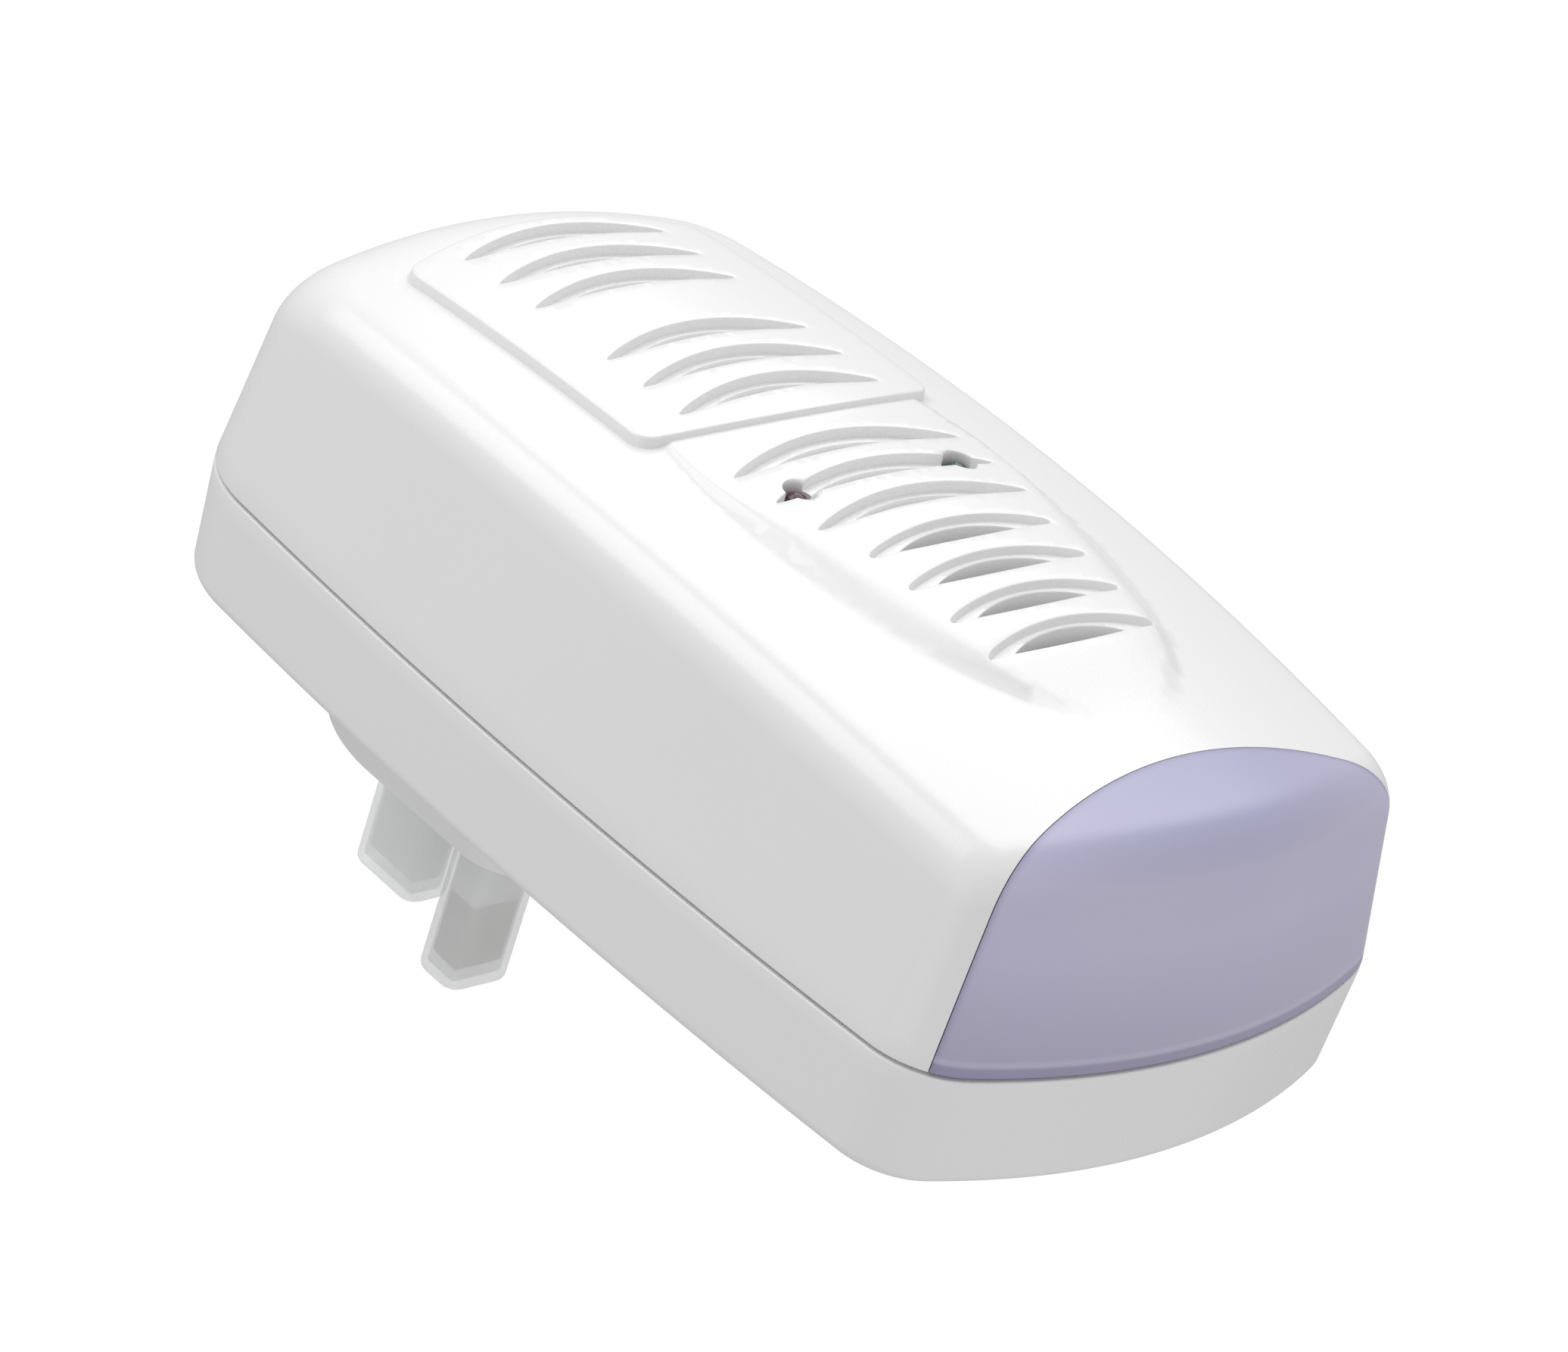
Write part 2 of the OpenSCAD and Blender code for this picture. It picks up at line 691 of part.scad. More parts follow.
module pin_retainer() {
    tail_room = 0.3;
    w = pin_spacing + power_pin[0] - 1;
    color([0.25, 0.25, 0.27])
        difference() {
            translate([-w / 2, -retainer_d - retainer_t, -earth_rise / 2 - 2.2])
                cube([w, retainer_t, earth_rise + 4.4]);
            for (p = power_pin_at)
                pin_prism(p, power_pin, [-0.8 + tail_room, -0.8 + tail_room], retainer_d - cut, tail_d + cut);
            for (p = retainer_screw_at)
                rod(p, screw_r + pass_gap, retainer_d - cut, retainer_d + retainer_t + cut);
            for (x = [-1, 1])
                translate([x * (w / 2 + 2), -retainer_d - retainer_t - cut, earth_rise / 2])
                    rotate([-90, 0, 0])
                        cylinder(r = 8.5, h = retainer_t + 2 * cut);
        }
}
module retainer_screws() {
    for (p = retainer_screw_at)
        screw(p, retainer_d + retainer_t, retainer_screw_l, -1);
}
module plug_block_screws() {
    for (p = block_screw_at)
        screw(p, floor_d, block_screw_l, -1);
}

// ---- Pin cover ----
// A rectangle with round corners, made of two bars and four circles
module round_rect(w, h, r) {
    square([w - 2 * r, h], center = true);
    square([w, h - 2 * r], center = true);
    for (x = [-1, 1], z = [-1, 1])
        translate([x * (w / 2 - r), z * (h / 2 - r)])
            circle(r = r, $fn = 32);
}
pocket_corner_r = 0.25;
cover_half_w = pin_spacing / 2 + power_pin[0] / 2 + 2.4;
module cover_base_outline(grow = 0) {
    low = -earth_rise / 2 - power_pin[1] / 2 - 2.8;
    high = earth_rise / 2 + earth_pin[1] / 2 + 1.8;
    arm_w = 2 * (earth_pin[0] / 2 + 3.4);
    bar_h = power_pin[1] + 5.6;
    translate([0, low + bar_h / 2])
        round_rect(2 * (cover_half_w + grow), bar_h + 2 * grow, 2.4 + grow);
    translate([0, (low + high) / 2])
        round_rect(arm_w + 2 * grow, high - low + 2 * grow, 2.4 + grow);
}
module pocket(p, size, grow, from, length, r) {
    translate([p.x, from, p.y])
        rotate([-90, 0, 0])
            linear_extrude(length - from)
                round_rect(size[0] + 2 * grow, size[1] + 2 * grow, r);
}
module pocket_outside(p, size) {
    grow = cover_gap + cover_t;
    end = size[2] + cover_end_gap + cover_t;
    round_end = 0.8;
    pocket(p, size, grow, cover_base_y, end - round_end, 2.2);
    pocket(p, size, grow - round_end / 2, cover_base_y, end, 1.8);
}
cover_base_y = -seat_depth + cover_seat_gap;
module pin_cover() {
    color([0.90, 0.92, 0.93, 0.45])
        difference() {
            union() {
                upright(-cover_base_y - cover_base_t, -cover_base_y)
                    cover_base_outline();
                for (p = power_pin_at)
                    pocket_outside(p, power_pin);
                pocket_outside(earth_pin_at, earth_pin);
            }
            for (p = power_pin_at)
                pocket(p, power_pin, cover_gap, cover_base_y - cut, power_pin[2] + cover_end_gap,
                    pocket_corner_r);
            pocket(earth_pin_at, earth_pin, cover_gap, cover_base_y - cut,
                earth_pin[2] + cover_end_gap, pocket_corner_r);
        }
}

// ---- Fasteners ----
module case_screws() {
    for (p = case_screw_at)
        screw(p, case_head_d, case_screw_l);
}

// ---- Electronics ----
module circuit_board() {
    color([0.72, 0.58, 0.32])
        difference() {
            translate([-board_w / 2, -board_face_d, board_top - board_h])
                cube([board_w, board_t, board_h]);
            for (p = post_at)
                rod(p, screw_r + pass_gap, board_d - cut, board_face_d + cut);
            // A case boss that comes close takes a bite out of the board's edge
            for (p = case_screw_at)
                rod(p, rear_boss_r + boss_gap, board_d - cut, board_face_d + cut);
        }
}
module board_screws() {
    for (p = post_at)
        screw(p, board_face_d, board_t + board_screw_l - 0.6, -1);
}
// A part that stands on the board, from its face up to height
module on_board(p, size) {
    translate([p.x - size[0] / 2, -board_face_d - size[2], p.y - size[1] / 2])
        cube([size[0], size[2], size[1]]);
}
lead_r = 0.3;
dropper_size = [18, 8.5, 15];
dropper_at = [-3, 3.5];
smoothing_r = 5;
smoothing_h = 12;
smoothing_at = [-15.5, -9];
coil_size = [16, 8, 14];                       // width, height on the board and depth
coil_limb = 3;                                 // thickness of the core's limbs
coil_leg = 4;                                  // width of the core's middle leg
coil_at = [2, -14];
chip_size = [9.8, 6.4, 3.4];
chip_at = [-6, -48];
transistor_at = [[8, -46], [14, -46]];
diode_at = [for (k = [0 : 3]) [-18, -22 - 4 * k]];
resistor_at = [[-10, -62], [-10, -66], [0, -62], [0, -66], [10, -62], [10, -66]];
film_at = [[14, -22], [14, -29]];
fuse_at = [17.5, -6];
spacer_r = 2.4;
night_led_at = [for (x = [-12, 0, 12]) [x, board_top - board_h + 3]];
night_led_d = board_face_d + 12;
led_flange_d = crown([led_x, led_at[0].y]) - wall - 1.2;

// A small hat-shaped light with two leads: body radius r, dome height h above the flange
module led(p, r, h, flange_d) {
    flange_t = 0.8;
    translate([p.x, -flange_d, p.y])
        rotate([90, 0, 0])
            rotate_extrude()
                polygon(concat([[0, 0], [r + 0.25, 0], [r + 0.25, flange_t], [r, flange_t]],
                    [for (a = [0 : 15 : 90]) [r * cos(a), h - r + r * sin(a)]]));
    for (x = [-0.7, 0.7])
        rod(p + [x, 0], lead_r, board_face_d, flange_d + eps);
}
module red_indicator_led() {
    color([0.45, 0.10, 0.12])
        led(led_at[0], 1.5, 4, led_flange_d);
}
module green_indicator_led() {
    color([0.20, 0.42, 0.25])
        led(led_at[1], 1.5, 4, led_flange_d);
}
module led_spacers() {
    color([0.15, 0.15, 0.16])
        for (p = led_at)
            difference() {
                rod(p, spacer_r, board_face_d, led_flange_d);
                rod(p, 1.3, board_face_d - cut, led_flange_d + cut);
            }
}
module night_light_leds() {
    color([0.88, 0.90, 0.95])
        for (p = night_led_at)
            led(p, 2.5, 8, night_led_d);
}
module solder_joints() {
    joints = concat(
        [for (p = led_at, x = [-0.7, 0.7]) p + [x * 1.8, 0]],
        [for (p = night_led_at, x = [-1.3, 1.3]) p + [x, 0]],
        [for (x = [-7.5, 7.5]) dropper_at + [x, 0]],
        [for (x = [-2.5, 2.5]) smoothing_at + [x, 0]],
        [for (x = [-3.8, -1.3, 1.3, 3.8], z = [-3.2, 3.2]) chip_at + [x, z]]);
    color(steel)
        for (p = joints)
            translate([p.x, -board_d, p.y])
                rotate([-90, 0, 0])
                    cylinder(r1 = 0.9, r2 = 0.35, h = 0.9, $fn = 24);
}
module mains_wires() {
    wire_r = 0.9;
    color([0.55, 0.25, 0.18])
        for (p = power_pin_at)
            rod(p, wire_r, tail_d, board_d);
}
module fuse() {
    l = 15;
    cap_l = 4;
    r = 2.5;
    translate([fuse_at.x, -board_face_d - r, fuse_at.y]) {
        color([0.85, 0.88, 0.88])
            translate([0, 0, -l / 2 + cap_l])
                cylinder(r = r - 0.2, h = l - 2 * cap_l);
        color(steel)
            for (z = [-l / 2, l / 2 - cap_l])
                translate([0, 0, z])
                    cylinder(r = r, h = cap_l);
    }
}
module dropper_capacitor() {
    color([0.80, 0.62, 0.15])
        on_board(dropper_at, dropper_size);
}
module smoothing_capacitor() {
    groove = 0.35;
    color([0.12, 0.13, 0.18])
        difference() {
            rod(smoothing_at, smoothing_r, board_face_d, board_face_d + smoothing_h);
            translate([smoothing_at.x, -board_face_d - 1.6, smoothing_at.y])
                rotate([90, 0, 0])
                    rotate_extrude()
                        translate([smoothing_r - groove, 0])
                            square([1, 0.8]);
        }
}
module rectifier_diodes() {
    r = 1.3;
    color([0.10, 0.10, 0.11])
        for (p = diode_at)
            translate([p.x - 2.6, -board_face_d - r, p.y])
                rotate([0, 90, 0])
                    cylinder(r = r, h = 5.2);
}
module coil_core() {
    window = [coil_size[0] - 2 * coil_limb, coil_size[2] - 2 * coil_limb, coil_size[1] + 2 * cut];
    color([0.20, 0.20, 0.21]) {
        difference() {
            on_board(coil_at, coil_size);
            translate([coil_at.x - window[0] / 2, -board_face_d - coil_size[2] + coil_limb,
                coil_at.y - window[2] / 2])
                cube(window);
        }
        translate([coil_at.x - coil_leg / 2, -board_face_d - coil_size[2] + coil_limb - eps,
            coil_at.y - coil_leg / 2])
            cube([coil_leg, window[1] + 2 * eps, coil_leg]);
    }
}
module coil_winding() {
    room = 0.2;
    hole = coil_leg + 2 * room;
    near_d = board_face_d + coil_limb + room;
    far_d = board_face_d + coil_size[2] - coil_limb - room;
    color([0.62, 0.33, 0.14])
        difference() {
            rod(coil_at, coil_size[0] / 2 - coil_limb - room, near_d, far_d);
            translate([coil_at.x - hole / 2, -far_d - cut, coil_at.y - hole / 2])
                cube([hole, far_d - near_d + 2 * cut, hole]);
        }
}
module oscillator_chip() {
    lift = 0.6;
    color([0.11, 0.11, 0.12])
        difference() {
            translate([chip_at.x - chip_size[0] / 2, -board_face_d - chip_size[2] - lift,
                chip_at.y - chip_size[1] / 2])
                cube([chip_size[0], chip_size[2], chip_size[1]]);
            rod(chip_at + [-chip_size[0] / 2, 0], 0.8, board_face_d + lift + chip_size[2] - 0.4,
                board_face_d + lift + chip_size[2] + cut);
        }
    color(steel)
        for (x = [-3.81, -1.27, 1.27, 3.81], z = [-1, 1])
            translate([chip_at.x + x - 0.25, -board_face_d - 2,
                chip_at.y + z * (chip_size[1] / 2 + 0.2) - 0.2])
                cube([0.5, 2, 0.4]);
}
module driver_transistors() {
    r = 2.3;
    color([0.10, 0.10, 0.11])
        for (p = transistor_at) {
            difference() {
                rod(p, r, board_face_d + 3, board_face_d + 7.5);
                translate([p.x - 3, -board_face_d - 9, p.y - 4.4])
                    cube([6, 8, 3]);
            }
            for (x = [-1.27, 0, 1.27])
                rod(p + [x, 0], lead_r, board_face_d, board_face_d + 3 + eps);
        }
}
module resistors() {
    r = 1.2;
    color([0.80, 0.70, 0.52])
        for (p = resistor_at)
            translate([p.x - 3.2, -board_face_d - r, p.y])
                rotate([0, 90, 0])
                    cylinder(r = r, h = 6.4);
}
module film_capacitors() {
    color([0.20, 0.42, 0.24])
        for (p = film_at)
            on_board(p, [7.2, 4, 8]);
}
// A white strip that keeps the night light's glow in the lens end
module light_baffle() {
    baffle_t = 1;
    baffle_h = 13;
    baffle_rise = 4.6;
    half = board_w / 2 - 1;
    color([0.95, 0.95, 0.95])
        translate([-half, -board_face_d - baffle_h, lens_top + baffle_rise])
            cube([2 * half, baffle_h, baffle_t]);
}

// ---- Speaker ----
gasket_w = 3.2;
speaker_front_d = crown([0, speaker_z]) - 6.3;
speaker_back_d = speaker_front_d - speaker_depth;
rim_t = 2;
diaphragm_t = 0.5;
cone_h = 4.5;
piezo_r = 5;
wire_x = 6;
wire_hole_r = 1;
module speaker_housing() {
    floor_t = 1.5;
    ledge = 1;
    color([0.14, 0.14, 0.15])
        difference() {
            rod([0, speaker_z], speaker_r, speaker_back_d, speaker_front_d);
            rod([0, speaker_z], speaker_r - rim_t, speaker_front_d - diaphragm_t, speaker_front_d + cut);
            rod([0, speaker_z], speaker_r - rim_t - ledge, speaker_back_d + floor_t, speaker_front_d);
            for (x = [-1, 1])
                rod([x * wire_x, speaker_z], wire_hole_r, speaker_back_d - cut, speaker_front_d);
        }
}
// A shallow cone with a flat rim that lies on the housing's ledge
module speaker_diaphragm() {
    rim_r = speaker_r - rim_t - 0.1;
    rim_w = 2;
    color([0.42, 0.38, 0.34])
        translate([0, -speaker_front_d, speaker_z])
            rotate([-90, 0, 0])
                rotate_extrude()
                    polygon([[rim_r, 0], [rim_r, diaphragm_t], [rim_r - rim_w, diaphragm_t],
                        [piezo_r, cone_h + diaphragm_t], [0, cone_h + diaphragm_t], [0, cone_h],
                        [piezo_r, cone_h], [rim_r - rim_w, 0]]);
}
module piezo_disc() {
    disc_t = 0.6;
    disc_front_d = speaker_front_d - cone_h - diaphragm_t;
    color(brass)
        rod([0, speaker_z], piezo_r, disc_front_d - disc_t, disc_front_d);
}
module speaker_gasket() {
    color([0.20, 0.20, 0.21])
        difference() {
            rod([0, speaker_z], speaker_r - 0.2, speaker_front_d, speaker_front_d + gasket_t);
            rod([0, speaker_z], speaker_r - gasket_w, speaker_front_d - cut,
                speaker_front_d + gasket_t + cut);
        }
}
module speaker_wires() {
    color([0.62, 0.12, 0.12])
        for (x = [-1, 1])
            rod([x * wire_x, speaker_z], wire_hole_r - 0.3, board_face_d, speaker_back_d + 1);
}

front_shell();
rear_shell();
night_light_lens();
plug_block();
live_pin();
neutral_pin();
earth_pin();
pin_sleeves();
pin_retainer();
retainer_screws();
plug_block_screws();
pin_cover();
case_screws();
circuit_board();
board_screws();
solder_joints();
mains_wires();
fuse();
dropper_capacitor();
smoothing_capacitor();
rectifier_diodes();
coil_core();
coil_winding();
oscillator_chip();
driver_transistors();
resistors();
film_capacitors();
red_indicator_led();
green_indicator_led();
led_spacers();
night_light_leds();
light_baffle();
speaker_housing();
speaker_diaphragm();
piezo_disc();
speaker_gasket();
speaker_wires();
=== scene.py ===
# %% [markdown]
# # A plug-in ultrasonic pest repeller
# The object is held by its plug, so the frame's origin is the middle of the pins, on the plug face.
# +Z is up, +X is right seen from the front, and the front faces -Y. Sizes below are in millimetres,
# and "depth" is how far a point stands in front of the plug face, so depth = -y.
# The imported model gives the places. This script makes the surfaces that the eye reads closely,
# and gives every other piece a finish of its own.

# %% The frame
import json
import math

import bmesh
import bpy
import numpy as np
from mathutils import Matrix, Vector
from mathutils.geometry import delaunay_2d_cdt


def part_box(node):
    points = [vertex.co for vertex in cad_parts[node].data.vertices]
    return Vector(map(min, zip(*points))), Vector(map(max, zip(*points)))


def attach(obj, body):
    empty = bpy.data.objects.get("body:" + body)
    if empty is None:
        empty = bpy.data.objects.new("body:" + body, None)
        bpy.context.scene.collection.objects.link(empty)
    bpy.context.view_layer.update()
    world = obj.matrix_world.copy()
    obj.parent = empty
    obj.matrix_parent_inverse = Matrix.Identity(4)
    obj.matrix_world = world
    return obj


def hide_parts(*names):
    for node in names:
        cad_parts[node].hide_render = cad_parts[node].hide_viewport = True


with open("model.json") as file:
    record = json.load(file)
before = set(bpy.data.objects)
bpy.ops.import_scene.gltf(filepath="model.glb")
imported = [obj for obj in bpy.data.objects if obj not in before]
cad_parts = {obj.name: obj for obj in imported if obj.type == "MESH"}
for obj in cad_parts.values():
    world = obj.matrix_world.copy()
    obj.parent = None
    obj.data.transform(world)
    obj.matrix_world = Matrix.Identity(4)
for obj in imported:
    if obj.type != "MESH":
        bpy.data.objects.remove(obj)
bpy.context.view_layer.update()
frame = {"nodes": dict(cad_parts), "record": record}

MM = 0.001


def box_mm(node):
    """The node's lowest and highest corner as [x, z, depth] rows, in millimetres."""
    low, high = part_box(node)
    return (np.array([low.x, low.z, -high.y]) / MM, np.array([high.x, high.z, -low.y]) / MM)


rear_low, rear_high = box_mm("rear_shell")
front_low = box_mm("front_shell")[0]

# %% [markdown]
# ## The outline
# Seen from the front, the case is a rectangle whose four sides all bow outwards, with round corners.
# A bowed side is an arc, so each point of the outline keeps its arc's centre, radius and angle.
# Moving the outline inwards is then exact: the point slides along its own normal.

# %% Sizes of the case
CASE_W = rear_high[0] - rear_low[0]
TOP_Z = rear_high[1]
BOTTOM_Z = rear_low[1]
MID_Z = (TOP_Z + BOTTOM_Z) / 2
BACK_D = rear_low[2]
FRONT_RIM_D = front_low[2]
PARTING_GAP = 0.4
REAR_RIM_D = FRONT_RIM_D - PARTING_GAP
CROWN_RISE = 28.8                 # from the parting line to the front's highest point
FRONT_D = FRONT_RIM_D - PARTING_GAP / 2 + CROWN_RISE
WALL = 2.2
SIDE_BOW_R, TOP_BOW_R, LENS_BOW_R = 620, 185, 78
TOP_CORNER_R, LENS_CORNER_R = 15, 9.5
LEAN = (2.9, 1.2, 2.7)            # how far the walls lean in: side, top end, lens end
EDGE_R = (4.5, 10.4, 5.0)         # the roll at their front edge: side, top end, lens end
CROWN_X_R, CROWN_Z_R, CROWN_Z = 108, 440, -24
print("case", round(CASE_W, 2), "x", round(TOP_Z - BOTTOM_Z, 2), "mm")


# %% Outline of the case
def corner_centre(end, end_r, r, up):
    """Centre of a corner arc that touches the right side's arc and an end's arc from inside."""
    way = end - SIDE
    far = np.linalg.norm(way)
    a, b = SIDE_BOW_R - r, end_r - r
    along = (far * far + a * a - b * b) / (2 * far)
    across = math.sqrt(a * a - along * along)
    return SIDE + along * way / far + up * across * np.array([-way[1], way[0]]) / far


def bearing(start, end):
    return math.atan2(end[1] - start[1], end[0] - start[0])


def arc(centre, r, start, end, spacing):
    """Rows of [centre x, centre z, radius, angle], evenly spaced, without the last point."""
    count = max(6, round(abs(end - start) * r / spacing))
    angles = start + (end - start) * np.arange(count) / count
    return np.column_stack([np.full(count, centre[0]), np.full(count, centre[1]),
                            np.full(count, r), angles])


def flipped(points):
    """The same place, or places, on the other side."""
    return points * np.array([-1, 1])


SIDE = np.array([CASE_W / 2 - SIDE_BOW_R, MID_Z])
TOP = np.array([0.0, TOP_Z - TOP_BOW_R])
LENS = np.array([0.0, BOTTOM_Z + LENS_BOW_R])
top_corner = corner_centre(TOP, TOP_BOW_R, TOP_CORNER_R, 1)
lens_corner = corner_centre(LENS, LENS_BOW_R, LENS_CORNER_R, -1)
side_up, side_down = bearing(SIDE, top_corner), bearing(SIDE, lens_corner)
top_end, lens_end = bearing(TOP, top_corner), bearing(LENS, lens_corner)
TURN = 2 * math.pi
OUTLINE = np.concatenate([
    arc(SIDE, SIDE_BOW_R, side_down, side_up, 1.6),
    arc(top_corner, TOP_CORNER_R, side_up, top_end, 0.9),
    arc(TOP, TOP_BOW_R, top_end, math.pi - top_end, 1.3),
    arc(flipped(top_corner), TOP_CORNER_R, math.pi - top_end, math.pi - side_up, 0.9),
    arc(flipped(SIDE), SIDE_BOW_R, math.pi - side_up, math.pi - side_down, 1.6),
    arc(flipped(lens_corner), LENS_CORNER_R, math.pi - side_down, math.pi - lens_end, 0.7),
    arc(LENS, LENS_BOW_R, math.pi - lens_end, TURN + lens_end, 1.1),
    arc(lens_corner, LENS_CORNER_R, TURN + lens_end, TURN + side_down, 0.7)])
normal = np.column_stack([np.cos(OUTLINE[:, 3]), np.sin(OUTLINE[:, 3])])
print("outline points", len(OUTLINE))


# %% Moving the outline inwards
def blend(sizes):
    """One size at each outline point, blended from the side's, the top's and the lens end's."""
    side, top, lens = sizes
    end = np.where(normal[:, 1] > 0, top, lens)
    return side * normal[:, 0] ** 2 + end * normal[:, 1] ** 2


def outline_in(sizes):
    """The outline moved inwards, as [x, z] rows."""
    return OUTLINE[:, :2] + normal * (OUTLINE[:, 2] - blend(sizes))[:, None]


def row(sizes, depth):
    flat = outline_in(sizes)
    return np.column_stack([flat, np.broadcast_to(depth, len(flat))])


def crown(x, z):
    """Depth of the case's bowed front."""
    return FRONT_D - x * x / (2 * CROWN_X_R) - (z - CROWN_Z) ** 2 / (2 * CROWN_Z_R)


print("case width at the top of its walls", round(float(np.ptp(outline_in(LEAN)[:, 0])), 2))

# %% [markdown]
# ## A skin that closes on itself
# Each shell is one closed skin: rings round the outline joined by strips of quads, and broad
# stretches filled with triangles. A plain grid would need faces as fine everywhere as they are
# round a vent. A constrained Delaunay fill keeps every edge and lets the faces grow between them.

# %% Skin
SAME_POINT = 1e-6                 # millimetres
NEAREST = 0.62                    # of the grid's spacing: the closest that it comes to an edge
def inside(points, loops):
    """True for each [x, z] point that lies in an odd number of the closed loops."""
    odd = np.zeros(len(points), bool)
    for loop in loops:
        ends = np.roll(loop, -1, axis=0)
        for (x0, z0), (x1, z1) in zip(loop, ends):
            if z0 != z1:
                crosses = (points[:, 1] < z0) != (points[:, 1] < z1)
                odd ^= crosses & (points[:, 0] < x0 + (points[:, 1] - z0) * (x1 - x0) / (z1 - z0))
    return odd


class Skin:
    """Points as [x, z, depth] rows in millimetres, and the faces between them."""

    def __init__(self):
        self.points = np.zeros((0, 3))
        self.faces = []

    def ring(self, points):
        start = len(self.points)
        self.points = np.concatenate([self.points, points])
        return np.arange(start, len(self.points))

    def bridge(self, a, b):
        """A strip of quads between two rings of the same length."""
        after_a, after_b = np.roll(a, -1), np.roll(b, -1)
        self.faces += [tuple(map(int, face)) for face in zip(a, after_a, after_b, b)]

    def tube(self, rows):
        rings = [self.ring(points) for points in rows]
        for a, b in zip(rings, rings[1:]):
            self.bridge(a, b)
        return rings

    def fill(self, edge, holes=(), lines=(), depth=None, spacing=None):
        """Triangles inside edge and outside holes. Points on a spacing grid take their depth from
        depth(x, z). A line is a ring, or an open run if its second value is False."""
        loops = [self.points[ids][:, :2] for ids in (edge, *holes)]
        ids = np.concatenate([edge, *holes, *[run for run, _ in lines]])
        segments, start = [], 0
        for run, closed in [(edge, True), *[(hole, True) for hole in holes], *lines]:
            count = len(run)
            steps = count if closed else count - 1
            segments += [(start + k, start + (k + 1) % count) for k in range(steps)]
            start += count
        if spacing:
            grid = self.grid(loops, self.points[ids][:, :2], spacing)
            ids = np.concatenate([ids, self.ring(np.column_stack([grid, depth(*grid.T)]))])
        flat = [Vector(point) for point in self.points[ids][:, :2]]
        made = delaunay_2d_cdt(flat, segments, [], 0, SAME_POINT)
        verts, triangles, origins = made[0], made[2], made[3]
        name = [int(ids[origin[0]]) for origin in origins]
        middles = np.array([np.mean([verts[k] for k in t], axis=0) for t in triangles])
        kept = inside(middles, loops)
        self.faces += [tuple(name[k] for k in t) for t, keep in zip(triangles, kept) if keep]

    @staticmethod
    def grid(loops, near, spacing):
        """Staggered points that keep clear of the loops and of the points near them."""
        low, high = loops[0].min(0), loops[0].max(0)
        step = spacing * math.sqrt(3) / 2
        points = []
        for k, z in enumerate(np.arange(low[1], high[1], step)):
            x = np.arange(low[0] + (k % 2) * spacing / 2, high[0], spacing)
            points.append(np.column_stack([x, np.full(len(x), z)]))
        points = np.concatenate(points)
        points = points[inside(points, loops)]
        clear = np.ones(len(points), bool)
        for part in np.array_split(near, max(1, len(near) // 200)):
            gap = np.linalg.norm(points[:, None] - part[None], axis=2).min(1)
            clear &= gap > NEAREST * spacing
        return points[clear]


trial = Skin()
trial.fill(trial.ring(np.array([[0, 0, 0], [1, 0, 0], [1, 1, 0], [0, 1, 0.0]])))
print("a square fills with", len(trial.faces), "triangles")


# %% Objects from skins
SMOOTH_ANGLE = math.radians(50)


def link(name, mesh):
    piece = bpy.data.objects.new(name, mesh)
    bpy.context.scene.collection.objects.link(piece)
    return piece


def smooth(mesh, angle=SMOOTH_ANGLE):
    """Round surfaces shade smooth, and edges sharper than the angle stay crisp."""
    mesh.polygons.foreach_set("use_smooth", [True] * len(mesh.polygons))
    mesh.set_sharp_from_angle(angle=angle)
    mesh.update()


def piece_from(skin, name):
    mesh = bpy.data.meshes.new(name)
    x, z, depth = skin.points.T
    mesh.from_pydata((np.column_stack([x, -depth, z]) * MM).tolist(), [], skin.faces)
    work = bmesh.new()
    work.from_mesh(mesh)
    bmesh.ops.remove_doubles(work, verts=work.verts, dist=1e-7)
    loose = [v for v in work.verts if not v.link_faces]
    bmesh.ops.delete(work, geom=loose, context="VERTS")
    bmesh.ops.recalc_face_normals(work, faces=work.faces)
    open_edges = sum(not e.is_manifold for e in work.edges)
    work.to_mesh(mesh)
    work.free()
    smooth(mesh)
    print(name, "faces", len(mesh.polygons), "open edges", open_edges)
    return link(name, mesh)


def evaluated(piece):
    """The piece's mesh with its modifiers applied."""
    graph = bpy.context.evaluated_depsgraph_get()
    graph.update()
    return bpy.data.meshes.new_from_object(piece.evaluated_get(graph))


def settle(piece):
    """Replaces the piece's mesh by the result of its modifiers, and removes them."""
    mesh = evaluated(piece)
    piece.modifiers.clear()
    piece.data = mesh
    return piece


def combine(piece, operation, *others):
    """Joins, cuts or intersects closed pieces. The others are used up."""
    for other in others:
        step = piece.modifiers.new("combine", "BOOLEAN")
        step.solver = "MANIFOLD"
        step.operation = operation
        step.object = other
        settle(piece)
        bpy.data.objects.remove(other)
    smooth(piece.data)
    return piece


def loft(name, sections):
    """A closed piece through sections, each an outline and its depth."""
    skin = Skin()
    rings = skin.tube([np.column_stack([flat, np.full(len(flat), d)]) for flat, d in sections])
    skin.fill(rings[0])
    skin.fill(rings[-1])
    return piece_from(skin, name)


def prism(name, flat, near, far):
    """A closed bar with a flat outline in x and z, between two depths."""
    return loft(name, [(flat, near), (flat, far)])


def around(centre, r, angles):
    """Points on a circle, as [x, z] rows."""
    return np.column_stack([centre[0] + r * np.cos(angles), centre[1] + r * np.sin(angles)])


def circle(x, z, r, count=48):
    return around((x, z), r, np.arange(count) * TURN / count)


def quarter(r, count):
    """Points round a rounded edge: how far in and how far along each lies."""
    return [(r * (1 - math.cos(a)), r * math.sin(a)) for a in np.linspace(0, math.pi / 2, count)]


print("points on a circle", len(circle(0, 0, 1)), "and round an edge", len(quarter(1, 4)))


# %% [markdown]
# ## The front: panel, hump and vents
# The front carries a raised panel above a low hump. The hump's flank is hardly there beside the
# panel, widens to about 5 mm, and closes again at the tip, so its width follows a bent sine.
# Its outer edge is a fine crease, while the ridge at the top of the flank is soft.

